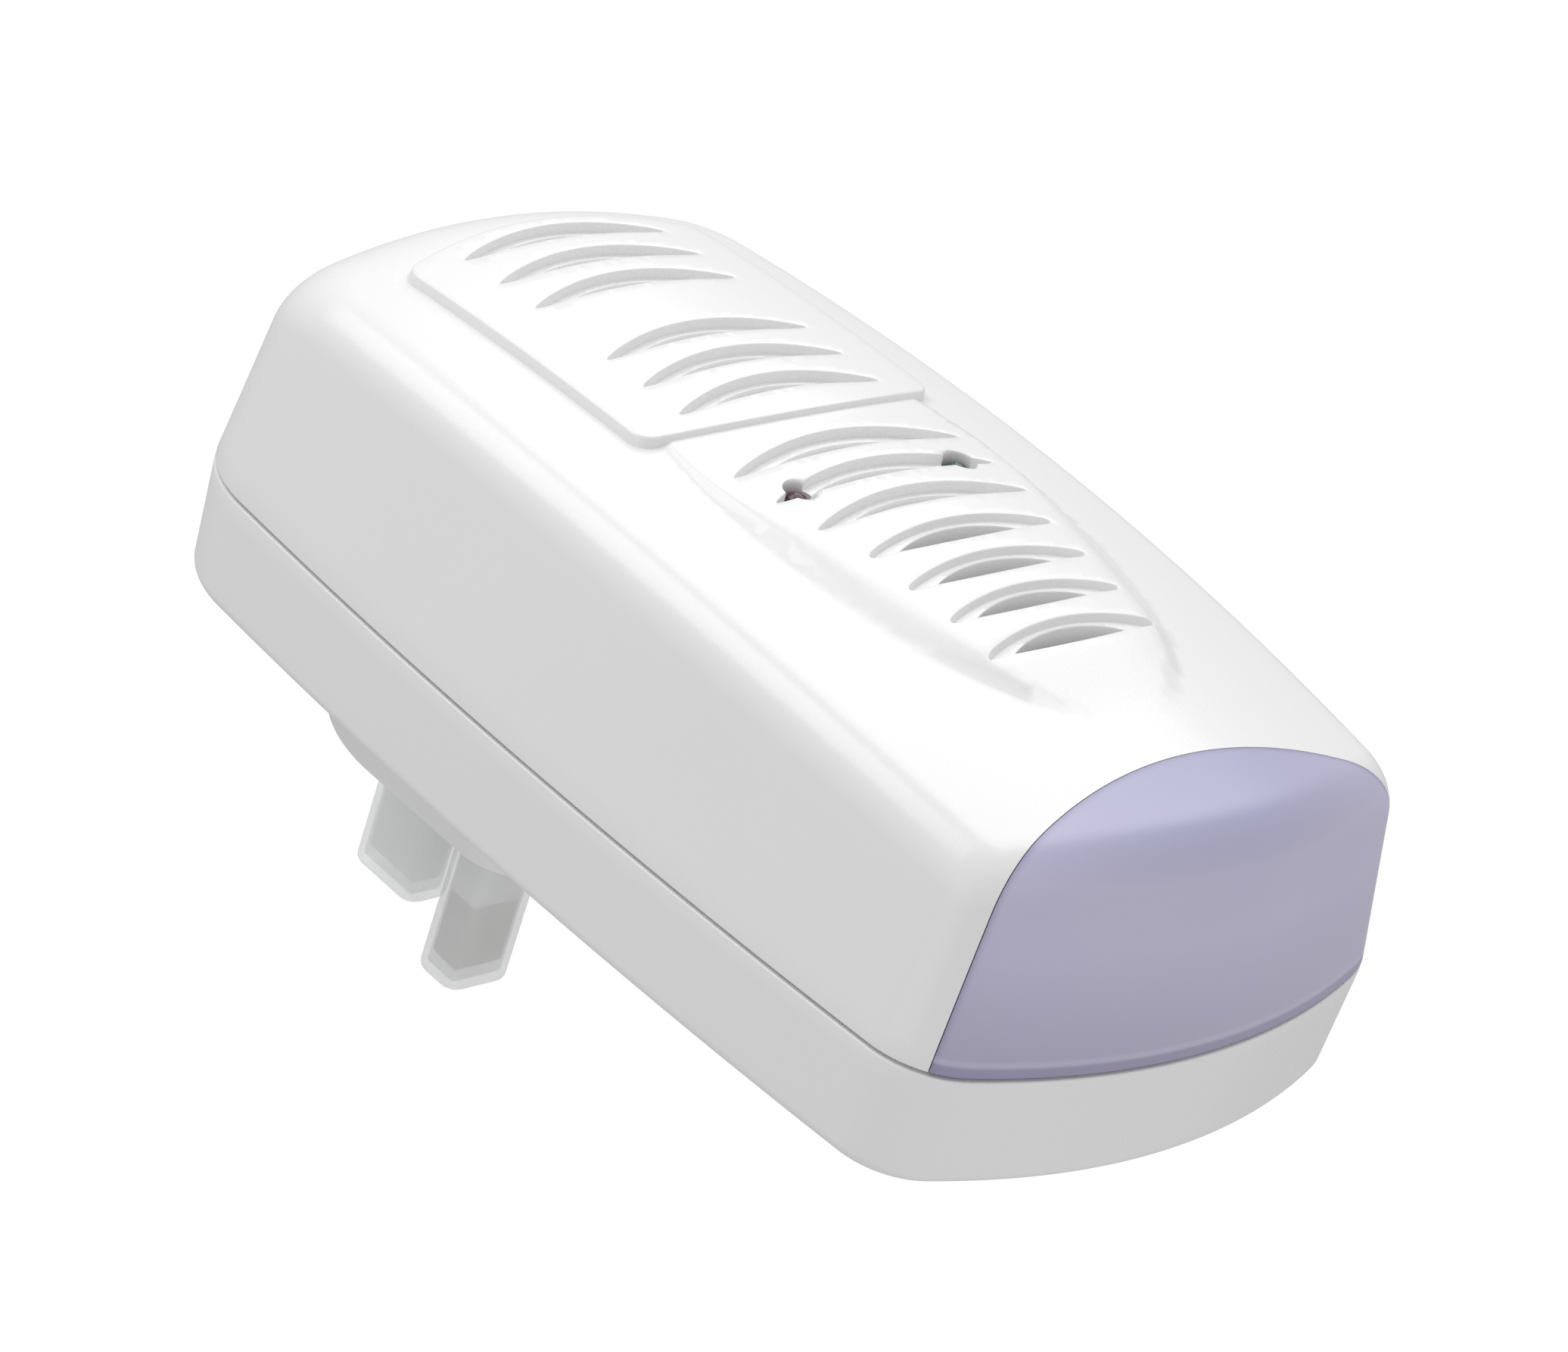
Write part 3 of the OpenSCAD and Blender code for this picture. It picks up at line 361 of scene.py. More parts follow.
# %% Panel and hump
PANEL_RISE, PANEL_W, PANEL_TOP, PANEL_BOTTOM = 1.1, 20.4, 19.4, -23.2
PANEL_TOP_BOW, PANEL_BOTTOM_BOW, PANEL_CORNER_R = 3.2, 2.0, 2.5
PANEL_FULL_IN = 0.45              # inside this inset the panel has its full height
HUMP_RISE, HUMP_W, HUMP_WIDE_Z, HUMP_TIP, HUMP_UPPER_L = 1.6, 19.2, -38, -74.3, 43
HUMP_LOW, HUMP_LOW_Z, HUMP_SWELL_L, HUMP_FADE_L = 0.28, -22, 22, 13
FLANK_W, FLANK_FROM, FLANK_TO, FLANK_BEND, FLANK_LEAST = 5.2, -24.0, -70.0, 1.5, 0.7


def ease(t):
    t = np.clip(t, 0, 1)
    return t * t * (3 - 2 * t)


def hump_height(z):
    """The hump's height along its middle: low under the panel, full by mid way, nothing at its tip."""
    start = HUMP_LOW + (1 - HUMP_LOW) * ease((HUMP_LOW_Z - z) / HUMP_SWELL_L)
    return HUMP_RISE * start * ease((z - HUMP_TIP) / HUMP_FADE_L)


def hump_half(z):
    reach = np.where(z < HUMP_WIDE_Z, HUMP_WIDE_Z - HUMP_TIP, HUMP_UPPER_L)
    return HUMP_W * np.sqrt(np.clip(1 - ((z - HUMP_WIDE_Z) / reach) ** 2, 0, 1))


def flank_width(z):
    t = np.clip((FLANK_FROM - z) / (FLANK_FROM - FLANK_TO), 0, 1)
    return np.maximum(FLANK_W * np.sin(math.pi * t ** FLANK_BEND), FLANK_LEAST)


def hump(x, z):
    share = np.clip((hump_half(z) - np.abs(x)) / flank_width(z), 0, 1)
    return hump_height(z) * np.sin(share * math.pi / 2)


def panel_edge(inset, bend_steps=8, run_steps=25, side_steps=41):
    """The panel's outline, moved inwards, with the same number of points for any inset."""
    w, r = PANEL_W - inset, PANEL_CORNER_R - inset
    halves = []
    for flip, end, bow in ((1, PANEL_TOP - inset, -PANEL_TOP_BOW),
                           (-1, PANEL_BOTTOM + inset, PANEL_BOTTOM_BOW)):
        corner = np.array([w, end + bow])
        along = np.array([-1, -2 * bow / w])
        along /= np.linalg.norm(along)
        side = np.array([0, -flip])
        turn = math.acos(along @ side)
        reach = r / math.tan(turn / 2)
        centre = corner + (along + side) / np.linalg.norm(along + side) * r / math.sin(turn / 2)
        first, last = corner + side * reach, corner + along * reach
        start = bearing(centre, first)
        sweep = (bearing(centre, last) - start + math.pi) % TURN - math.pi
        bend = around(centre, r, start + sweep * np.arange(bend_steps + 1) / bend_steps)
        x = np.linspace(last[0], 0, run_steps + 1)[1:]
        halves.append(np.concatenate([bend, np.column_stack([x, end + bow * (x / w) ** 2])]))
    top, low = halves
    z = np.linspace(low[0, 1], top[0, 1], side_steps + 1)[1:-1]
    right = np.concatenate([low[::-1], np.column_stack([np.full(len(z), w), z]), top])
    return np.concatenate([right, flipped(right[-2:0:-1])])


panel_top = panel_edge(PANEL_FULL_IN)


def surface(x, z):
    """Depth of the front's outside, with its panel and hump."""
    on_panel = inside(np.column_stack([x, z]), [panel_top])
    return crown(x, z) + np.where(on_panel, PANEL_RISE, hump(x, z))


print("panel outline points", len(panel_top))

# %% [markdown]
# ## Vents
# A vent is a crescent between two shallow arcs. It could be cut with a boolean, but moulded plastic
# has a soft rim, and the floor follows the crowned front. So each vent is a run of nested loops:
# a rounded rim, a steep wall and a floor, and inside that a second D-shaped step. On the lower vents
# the D goes right through to the speaker.

# %% Where the vents are
PITCH, FIRST_VENT, FIRST_HUMP_VENT = 5.6, 14.5, -29.8
PANEL_VENTS = (0, 1, 2, 4, 5, 6)  # the middle place is left plain
PANEL_HALF, PANEL_BULGE = 13.85, 3.0
HUMP_HALVES = (15.65, 15.05, 14.5, 12.6, 12.3, 11.7, 11.5)
HUMP_BULGES = (3.3, 3.1, 2.9, 2.15, 2.1, 2.1, 2.1)
FIRST_OPEN = 3
OPEN_BELOW_Z = FIRST_HUMP_VENT - (FIRST_OPEN - 0.5) * PITCH + 1
VENT_DEPTH, OPEN_VENT_DEPTH, STEP_DEPTH = 1.2, 0.85, 0.55
# the radius at a vent's tips, how its near edge bows, how high its step reaches
ON_PANEL = {"round": 0.2, "near": 0.42, "step_top": 2.5, "open": False}
CLOSED = {"round": 0.22, "near": 0.3, "step_top": 2.45, "open": False}
OPEN = {"round": 0.42, "near": -0.42, "step_top": 1.95, "open": True}


def vent_places():
    """Each vent's height, half length and bulge, and what its kind gives."""
    for k in PANEL_VENTS:
        yield {"z": FIRST_VENT - k * PITCH, "half": PANEL_HALF, "bulge": PANEL_BULGE, **ON_PANEL}
    for k, (half, bulge) in enumerate(zip(HUMP_HALVES, HUMP_BULGES)):
        kind = CLOSED if k < FIRST_OPEN else OPEN
        yield {"z": FIRST_HUMP_VENT - k * PITCH, "half": half, "bulge": bulge, **kind}


def vent_floor(x, z):
    height = np.where(z > PANEL_BOTTOM, PANEL_RISE, hump_height(z))
    return crown(x, z) + height - np.where(z > OPEN_BELOW_Z, VENT_DEPTH, OPEN_VENT_DEPTH)


print("vents", len(list(vent_places())))

# %% Vent loops
ACROSS = -np.cos(np.linspace(0, math.pi, 27))        # from tip to tip, closer together at the tips
TIP_BLUNT, THINNEST = 24, 0.05
NEAR_SHARE, STEP_SHARE, STEP_IN, STEP_BLUNT = 0.75, 0.72, 0.26, 0.85
# each row: shorter at each tip, lower far arc, higher near edge, and how far the loop lies in
# front of the surface (rim) or in front of the vent's floor (wall)
RIM_LOOPS = ((-0.16, -0.12, -0.12, 0), (-0.03, -0.03, -0.03, -0.05), (0.06, 0.03, 0.02, -0.18))
WALL_LOOPS = ((0.2, 0.12, 0.05, 0.22), (0.3, 0.2, 0.08, 0.05), (0.45, 0.34, 0.12, 0))
# each row: how far in from the step's edge, and how far behind the vent's floor
STEP_LOOPS = ((0, 0), (0.06, 0.05), (0.1, 0.2), (0.14, STEP_DEPTH))


def near_edge(place, x):
    """How a vent's near edge runs: bowed in its middle and straight at its ends."""
    bow = np.clip(1 - (x / (NEAR_SHARE * place["half"])) ** 2, 0, 1)
    return place["near"] * bow - place["round"]


def there_and_back(x, low, high):
    """A loop that runs along its near edge and comes back along its far edge."""
    return np.concatenate([np.column_stack([x, low]), np.column_stack([x, high])[-2:0:-1]])


def vent_loop(place, tip, down, up):
    """A crescent with round tips, made shorter at each tip, lower on its far arc and higher on
    its near edge by the given amounts."""
    x = (place["half"] - tip) * ACROSS
    far = place["bulge"] * (1 - (x / place["half"]) ** 2) + place["round"] - down
    low = near_edge(place, x) + up
    half_width = np.maximum((far - low) / 2, THINNEST) * np.sqrt(1 - np.abs(ACROSS) ** TIP_BLUNT)
    middle = place["z"] + (far + low) / 2
    return there_and_back(x, middle - half_width, middle + half_width)


def step_loop(place, inset):
    """The D-shaped step inside a vent, standing on the vent's near edge."""
    x = (STEP_SHARE * place["half"] - inset) * ACROSS
    low = place["z"] + near_edge(place, x) + STEP_IN + inset / 2
    top = place["step_top"] - place["near"] + place["round"] - STEP_IN - inset * 1.5
    return there_and_back(x, low, low + top * (1 - ACROSS * ACROSS) ** STEP_BLUNT)


def cut_vent(skin, place):
    """Adds one vent's walls and floor. Returns its rim, and its inner opening if it has one."""
    rows = []
    for loops, base in ((RIM_LOOPS, surface), (WALL_LOOPS, vent_floor)):
        for tip, down, up, off in loops:
            flat = vent_loop(place, tip, down, up)
            rows.append(np.column_stack([flat, base(*flat.T) + off]))
    rings = skin.tube(rows)
    rows = []
    for inset, drop in STEP_LOOPS:
        flat = step_loop(place, inset)
        rows.append(np.column_stack([flat, vent_floor(*flat.T) - drop]))
    if place["open"]:
        rows[-1][:, 2] = crown(*flat.T) - WALL
    inner = skin.tube(rows)
    skin.fill(rings[-1], [inner[0]])
    if place["open"]:
        return rings[0], inner[-1]
    skin.fill(inner[-1])
    return rings[0], None


print("loops in a vent", len(RIM_LOOPS) + len(WALL_LOOPS) + len(STEP_LOOPS))

# %% [markdown]
# ## The front shell and the lens
# The shell and the lens share one outside surface, which was moulded to match, so both come from
# the same rings: up the leaning walls, round the roll at the front edge, and over the crown.
# The lens is what lies below a shallow arch, and the shell is the rest.


# %% Rings from the rim to the crown
LIP_R, LEAST_R = 0.22, 0.5
OUTER_STEPS, INNER_STEPS = (7, 13), (4, 7)           # rings up the wall, and round the roll


def front_rows(t, wall_steps, roll_steps):
    """Rings of the front's surface moved inwards by t: the wall and the roll at its edge."""
    radius = [max(r - t, LEAST_R) for r in EDGE_R]
    rolled = []
    for angle in np.linspace(math.radians(10), math.pi / 2, roll_steps):
        into = [t + lean + r * (1 - math.cos(angle)) for lean, r in zip(LEAN, radius)]
        flat = outline_in(into)
        depth = crown(*flat.T) - t - blend(radius) * (1 - math.sin(angle))
        rolled.append(np.column_stack([flat, depth]))
    foot = row((t, t, t), FRONT_RIM_D)
    shares = np.arange(wall_steps) / wall_steps
    return [foot + share * (rolled[0] - foot) for share in shares] + rolled


def rim_rows(rows):
    """Rounds the outside corner of the rim that the rings start from."""
    foot, second = rows[0], rows[1]
    way = (second - foot) / (second[:, 2:] - foot[:, 2:])
    made = []
    for up, along in quarter(LIP_R, 4):
        into = normal * (LIP_R - along)
        made.append(foot + way * up - np.column_stack([into, np.zeros(len(foot))]))
    return made + rows[1:]


print("rings up the front", len(rim_rows(front_rows(0, *OUTER_STEPS))))

# %% The front as a skin
# each row: how far in from the panel's edge, and what share of the step is still to come
PANEL_LOOPS = ((-0.15, 1.0), (0.0, 1.0), (0.07, 0.85), (0.2, 0.2), (0.32, 0.03), (0.5, 0.0))
HUMP_LINE_Z, RIDGE_END_Z, RIDGE_STEP = -22.8, -48.0, 0.9
OUTER_SPACING, INNER_SPACING = 1.0, 3.0


def panel_lines(skin):
    """Loops that keep the panel's step crisp."""
    lines = []
    for inset, low in PANEL_LOOPS:
        flat = panel_edge(inset)
        height = PANEL_RISE - low * (PANEL_RISE - hump(*flat.T))
        lines.append((skin.ring(np.column_stack([flat, crown(*flat.T) + height])), True))
    return lines


def hump_lines(skin):
    """Runs along the hump's outer crease and, on its upper half, along its flank and ridge."""
    upper = np.linspace(HUMP_LINE_Z, HUMP_WIDE_Z, 16)[:-1]
    lower = HUMP_WIDE_Z + (HUMP_TIP - HUMP_WIDE_Z) * np.sin(np.linspace(0, math.pi / 2, 44))
    z = np.concatenate([upper, lower])
    right = np.column_stack([hump_half(z), z])
    crease = np.concatenate([right, flipped(right[-2::-1])])
    runs = [np.column_stack([crease, crown(*crease.T)])]
    z = np.arange(HUMP_LINE_Z, RIDGE_END_Z, -RIDGE_STEP)
    for side in (1, -1):
        for share in (0.5, 1.0):
            x = side * (hump_half(z) - share * flank_width(z))
            runs.append(np.column_stack([x, z, crown(x, z) + hump(x, z)]))
    return [(skin.ring(run), False) for run in runs]


def front_skin(name, with_features):
    """The front as one closed skin: plain, or with its vents, panel and hump."""
    skin = Skin()
    outer = skin.tube(rim_rows(front_rows(0, *OUTER_STEPS)))
    inner = skin.tube(front_rows(WALL, *INNER_STEPS))
    skin.bridge(outer[0], inner[0])
    holes, openings, lines = [], [], []
    if with_features:
        cuts = [cut_vent(skin, place) for place in vent_places()]
        holes = [rim for rim, _ in cuts]
        openings = [opening for _, opening in cuts if opening is not None]
        lines = panel_lines(skin) + hump_lines(skin)
    skin.fill(outer[-1], holes, lines, surface if with_features else crown, OUTER_SPACING)
    skin.fill(inner[-1], openings, (), lambda x, z: crown(x, z) - WALL, INNER_SPACING)
    return piece_from(skin, name)


front_shell = front_skin("front_case", True)
night_lens = front_skin("lens", False)

# %% Cutting the shell and the lens apart
ARCH_TOP, ARCH_R, ARCH_HALF_W, SEAM = -80.0, 70.0, 48.0, 0.1
LED_X, LED_RISE, LED_HOLE_R = 11.2, 0.9, 1.75
# each row: how far in front of the surface a light hole's section lies, and how much wider it is
HOLE_FLARE = ((-0.5, 0), (-0.25, 0.04), (-0.08, 0.16), (0.1, 0.4), (3, 0.4))


def below_arch(name, r):
    """A bar that fills everything under the lens's arched edge."""
    half = math.asin(ARCH_HALF_W / r)
    angles = np.linspace(-half, half, 160)
    arch = np.column_stack([r * np.sin(angles), ARCH_TOP - ARCH_R + r * np.cos(angles)])
    floor = BOTTOM_Z - 20
    flat = np.concatenate([arch, [[arch[-1, 0], floor], [arch[0, 0], floor]]])
    return prism(name, flat, BACK_D, FRONT_D + 10)


def light_hole(x, z):
    """A bar that bores the hole for a light, with a softened mouth."""
    top = float(crown(x, z) + hump(x, z))
    sections = [(FRONT_RIM_D, 0), *[(top + off, grow) for off, grow in HOLE_FLARE]]
    return loft("light_hole", [(circle(x, z, LED_HOLE_R + grow), d) for d, grow in sections])


led_z = FIRST_HUMP_VENT - PITCH + LED_RISE
combine(front_shell, "DIFFERENCE", below_arch("arch", ARCH_R),
        *[light_hole(x, led_z) for x in (-LED_X, LED_X)])
combine(night_lens, "INTERSECT", below_arch("arch", ARCH_R - SEAM))
print("front case faces", len(front_shell.data.polygons), "lens", len(night_lens.data.polygons))

# %% [markdown]
# ## The rear shell
# The rear shell is a tray. Its whole profile, from the back's edge up the wall, over the rim, up
# and down the tongue that locates the front shell, and down to the floor, is swept round the
# outline. Bosses for the screws are joined to it, and the screws' deep seats are bored out.

# %% Rear shell
BACK_LEAN, BACK_R, TONGUE_GAP, TONGUE_T, TONGUE_H = 0.6, 1.6, 0.54, 1.0, 2.0
TONGUE_R, TONGUE_ROOT, ROOT_GAP, FLOOR_R = 0.2, 3.0, 0.25, 0.6
SCREW_R, HEAD_R, HEAD_H, PASS, BOSS_R, POST_R = 1.25, 2.5, 1.6, 0.35, 3.8, 2.2
OVER = 1.0                        # how far a bar reaches into or past what it joins or cuts


def solids_of(node):
    """The centre of each separate solid of a CAD node, and its size, in metres."""
    work = bmesh.new()
    work.from_mesh(frame["nodes"][node].data)
    bmesh.ops.remove_doubles(work, verts=work.verts, dist=1e-6)
    left, found = set(work.verts), []
    while left:
        group, fresh = set(), [left.pop()]
        while fresh:
            vert = fresh.pop()
            group.add(vert)
            near = [e.other_vert(vert) for e in vert.link_edges]
            fresh += [v for v in near if v in left]
            left -= set(near)
        co = np.array([v.co for v in group])
        found.append((Vector((co.min(0) + co.max(0)) / 2), Vector(co.max(0) - co.min(0))))
    work.free()
    return sorted(found, key=lambda f: (round(f[0].z, 5), round(f[0].x, 5)))


def rear_profile():
    """[inset, depth] pairs from the back face's edge, over the rim, to the floor."""
    bend = [(BACK_LEAN + into, BACK_D + BACK_R - along) for into, along in quarter(BACK_R, 9)[::-1]]
    foot, top, floor = BACK_D + BACK_R, REAR_RIM_D - LIP_R, BACK_D + WALL
    wall = [(BACK_LEAN * (1 - share), foot + (top - foot) * share) for share in np.arange(1, 7) / 6]
    lip = [(into, top + along) for into, along in quarter(LIP_R, 4)[1:]]
    out, tip, root = WALL + TONGUE_GAP, REAR_RIM_D + TONGUE_H, REAR_RIM_D - TONGUE_ROOT
    tongue = [(out, REAR_RIM_D), (out, tip - TONGUE_R), (out + TONGUE_R, tip),
              (out + TONGUE_T, tip), (out + TONGUE_T, root), (WALL + ROOT_GAP, root - 1)]
    low = WALL + BACK_LEAN
    return bend + wall + lip + tongue + [(low, floor + FLOOR_R), (low + FLOOR_R, floor)]


def posts(name, places, r, start, end):
    """A round bar at each place, between two depths."""
    return [prism(name, circle(x, z, r), start, end) for x, z in places]


rear_skin = Skin()
rings = rear_skin.tube([row((inset,) * 3, depth) for inset, depth in rear_profile()])
rear_skin.fill(rings[0])
rear_skin.fill(rings[-1])
rear_shell = piece_from(rear_skin, "rear_case")
screw_places, post_places = [[(centre.x / MM, centre.z / MM) for centre, _ in solids_of(node)]
                             for node in ("case_screws", "board_screws")]
HEAD_SEAT_D = box_mm("case_screws")[0][2] + HEAD_H
BOARD_D = box_mm("circuit_board")[0][2]
combine(rear_shell, "UNION",
        *posts("boss", screw_places, BOSS_R, BACK_D + OVER, REAR_RIM_D),
        *posts("post", post_places, POST_R, BACK_D + OVER, BOARD_D))
combine(rear_shell, "DIFFERENCE",
        *posts("seat", screw_places, HEAD_R + PASS, BACK_D - OVER, HEAD_SEAT_D),
        *posts("bore", screw_places, SCREW_R + PASS, BACK_D - OVER, REAR_RIM_D + OVER))
print("rear case faces", len(rear_shell.data.polygons), "screws", len(screw_places))

# %% [markdown]
# ## The pin cover
# The cover is a thin frosted moulding: a T-shaped base with one closed pocket for each pin.
# Every pocket is a rounded rectangle drawn out along the pin, flared into the base at its foot
# and rounded over at its end, with a smaller copy of itself taken out of the inside.

# %% Pin cover
PIN_GAP, COVER_T, END_GAP, COVER_BASE_T = 0.3, 0.9, 0.5, 1.2
PIN_SPACING, EARTH_RISE = 22.2, 22.2
POWER_PIN, EARTH_PIN = (6.35, 4.0, 17.7), (4.0, 8.0, 22.7)       # width, height, length
PINS = [((-PIN_SPACING / 2, -EARTH_RISE / 2), POWER_PIN),
        ((PIN_SPACING / 2, -EARTH_RISE / 2), POWER_PIN), ((0.0, EARTH_RISE / 2), EARTH_PIN)]
BASE_BELOW, BASE_ABOVE, BASE_SIDE, ARM_SIDE, BASE_R = 2.8, 1.8, 2.4, 3.4, 2.4
FLARE, POCKET_R, POCKET_END_R, INSIDE_R, INSIDE_END_R = 0.8, 2.0, 1.1, 0.6, 0.4
BASE_EDGE, FOOT_IN, LEAST_CORNER = 0.3, 0.3, 0.05
cover_foot = box_mm("pin_cover")[1][2]


def rounded(centre, w, h, r, steps=8):
    """A rounded rectangle's outline."""
    corners = []
    for k, (sx, sz) in enumerate(((1, 1), (-1, 1), (-1, -1), (1, -1))):
        middle = (centre[0] + sx * (w / 2 - r), centre[1] + sz * (h / 2 - r))
        corners.append(around(middle, r, np.linspace(k, k + 1, steps + 1) * math.pi / 2))
    return np.concatenate(corners)


def pocket(pin, grow, corner, end_r, foot):
    """A pocket's solid, bigger all round than its pin by the amount given. Foot holds how much
    wider still it is at each depth there."""
    centre, (w, h, length) = pin
    w, h, end = w + 2 * grow, h + 2 * grow, length + END_GAP + grow - PIN_GAP
    sections = [(rounded(centre, w + 2 * out, h + 2 * out, corner + out), depth)
                for out, depth in foot]
    for into, along in quarter(end_r, 7):
        r = max(corner - into, LEAST_CORNER)
        sections.append((rounded(centre, w - 2 * into, h - 2 * into, r), end_r - end - along))
    return loft("pocket", sections)


def base_bar(centre, w, h):
    """A bar of the cover's base, with both its faces rounded at their edges."""
    front = cover_foot - COVER_BASE_T + BASE_EDGE
    sections = [(BASE_EDGE - along, cover_foot - into) for into, along in quarter(BASE_EDGE, 4)]
    sections += [(into, front - along) for into, along in quarter(BASE_EDGE, 4)]
    return loft("cover_base", [(rounded(centre, w - 2 * into, h - 2 * into, BASE_R - into), depth)
                               for into, depth in sections])


bar_h = POWER_PIN[1] + 2 * BASE_BELOW
low = -EARTH_RISE / 2 - POWER_PIN[1] / 2 - BASE_BELOW
high = EARTH_RISE / 2 + EARTH_PIN[1] / 2 + BASE_ABOVE
bar_w = PIN_SPACING + POWER_PIN[0] + 2 * BASE_SIDE
arm_w = EARTH_PIN[0] + 2 * ARM_SIDE
flared = [(FLARE, cover_foot - FOOT_IN),
          *[(FLARE - along, cover_foot - COVER_BASE_T - into) for into, along in quarter(FLARE, 6)]]
pin_cover = base_bar((0, low + bar_h / 2), bar_w, bar_h)
combine(pin_cover, "UNION", base_bar((0, (low + high) / 2), arm_w, high - low),
        *[pocket(pin, PIN_GAP + COVER_T, POCKET_R, POCKET_END_R, flared) for pin in PINS])
combine(pin_cover, "DIFFERENCE",
        *[pocket(pin, PIN_GAP, INSIDE_R, INSIDE_END_R, [(0, cover_foot + OVER)]) for pin in PINS])
pin_cover.name = "pin_cover_moulding"
print("pin cover faces", len(pin_cover.data.polygons))

# %% [markdown]
# ## Softened edges
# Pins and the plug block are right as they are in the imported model, except that a real edge
# is never perfectly sharp. A merged copy with a small bevel catches the light as the real one does.


# %% Softened copies of CAD nodes
def soften(node, name, width, segments=3):
    """A copy of a CAD node with its flat faces merged and its sharp edges rounded."""
    mesh = frame["nodes"][node].data.copy()
    work = bmesh.new()
    work.from_mesh(mesh)
    bmesh.ops.remove_doubles(work, verts=work.verts, dist=1e-6)
    bmesh.ops.dissolve_limit(work, angle_limit=math.radians(1), verts=work.verts,
                             edges=work.edges)
    work.to_mesh(mesh)
    work.free()
    if mesh.has_custom_normals:
        mesh.attributes.remove(mesh.attributes["custom_normal"])
    mesh.name = name
    piece = link(name, mesh)
    bevel = piece.modifiers.new("soft edges", "BEVEL")
    bevel.width = width * MM
    bevel.segments = segments
    bevel.limit_method = "ANGLE"
    bevel.angle_limit = math.radians(35)
    settle(piece)
    smooth(piece.data, math.radians(40))
    print(name, "faces", len(piece.data.polygons))
    return piece


softened = {
    "plug_block": soften("plug_block", "plug_body", 0.35),
    "live_pin": soften("live_pin", "live_pin_bar", 0.2),
    "neutral_pin": soften("neutral_pin", "neutral_pin_bar", 0.2),
    "earth_pin": soften("earth_pin", "earth_pin_bar", 0.3),
    "pin_retainer": soften("pin_retainer", "retainer_plate", 0.3),
    "dropper_capacitor": soften("dropper_capacitor", "dropper_capacitor_case", 0.6),
    "film_capacitors": soften("film_capacitors", "film_capacitor_dips", 1.1, 4),
    "coil_core": soften("coil_core", "coil_ferrite", 0.3),
}

# %% [markdown]
# ## Finishes
# A finish is a tree of shader nodes. Writing sums with + and * is easier to read than wiring Math
# nodes by hand, so a small class wraps a socket. Patterns are laid out on Object coordinates,
# in metres, so they stay put on the piece.


# %% Sums on sockets
class Wire:
    """A shader socket that can be used in a sum."""

    def __init__(self, finish, socket):
        self.finish, self.socket = finish, socket

    def join(self, operation, other, swapped=False):
        pair = [other, self] if swapped else [self, other]
        return self.finish.node("ShaderNodeMath", {"operation": operation}, dict(enumerate(pair)))

    def __add__(self, other):
        return self.join("ADD", other)

    def __sub__(self, other):
        return self.join("SUBTRACT", other)

    def __rsub__(self, other):
        return self.join("SUBTRACT", other, True)

    def __mul__(self, other):
        return self.join("MULTIPLY", other)

    def __truediv__(self, other):
        return self.join("DIVIDE", other)

    def __pow__(self, other):
        return self.join("POWER", other)


    def clamped(self):
        return self.finish.node("ShaderNodeClamp", {}, {"Value": self})


class Finish:
    """A material with one Principled shader, and its constants set on the shader's own sockets."""

    def __init__(self, name, **constants):
        self.material = bpy.data.materials.new(name)
        self.material.use_nodes = True
        self.tree = self.material.node_tree
        self.shader = self.tree.nodes["Principled BSDF"]
        self.place = self.node("ShaderNodeTexCoord", {}, {}, "Object")
        for socket, value in constants.items():
            self.shader.inputs[socket.replace("_", " ")].default_value = value

    def node(self, kind, settings, inputs, output=0):
        """Adds one node. Settings are set first, then its sockets take values or links."""
        made = self.tree.nodes.new(kind)
        for key, value in settings.items():
            setattr(made, key, value)
        for key, value in inputs.items():
            if isinstance(value, Wire):
                self.tree.links.new(value.socket, made.inputs[key])
            else:
                made.inputs[key].default_value = value
        return Wire(self, made.outputs[output])

    def axes(self):
        """Object coordinates x, y and z, in metres."""
        return [self.node("ShaderNodeSeparateXYZ", {}, {0: self.place}, k) for k in range(3)]

    def noise(self, scale, detail=2.0, stretch=None):
        """Noise on the object's coordinates, drawn out along an axis where stretch is small."""
        place = self.place
        if stretch:
            place = self.node("ShaderNodeMapping", {}, {"Vector": place, "Scale": stretch})
        return self.node("ShaderNodeTexNoise", {},
                         {"Vector": place, "Scale": scale, "Detail": detail}, "Fac")

    def mix(self, share, first, second):
        """The first colour, turning into the second as share goes from 0 to 1."""
        first, second = [c if isinstance(c, Wire) else (*c, 1.0) for c in (first, second)]
        return self.node("ShaderNodeMix", {"data_type": "RGBA"}, {0: share, 6: first, 7: second}, 2)

    def paint(self, share, first, second):
        return self.set("Base Color", self.mix(share, first, second))

    def bump(self, height, distance, strength=1.0):
        made = self.node("ShaderNodeBump", {}, {"Height": height, "Distance": distance,
                                                "Strength": strength}, "Normal")
        return self.set("Normal", made)

    def set(self, socket, value):
        self.tree.links.new(value.socket, self.shader.inputs[socket])
        return self


def darker(base, share):
    return [c * (1 - share) for c in base]


print("finishes in the packed model", len(bpy.data.materials))

# %% [markdown]
# ### Moulded plastics
# Injection-moulded plastic has a slight unevenness in its gloss, and a grain far finer than a
# millimetre on the satin parts. Its colour hardly changes. Foam and wire insulation have darker
# clouds in theirs.


# %% Plastic finishes
def moulded(name, base, rough, grain, tint=0.02, grain_scale=2600, **more):
    """Plastic with a cloudy gloss and a fine grain. Tint is how much darker its clouds are."""
    finish = Finish(name, **more)
    cloud = finish.noise(45, 3.0)
    fine = finish.noise(grain_scale)
    finish.paint(cloud, base, darker(base, tint))
    finish.set("Roughness", fine * 0.05 + cloud * 0.04 + (rough - 0.045))
    return finish.bump(fine, grain)


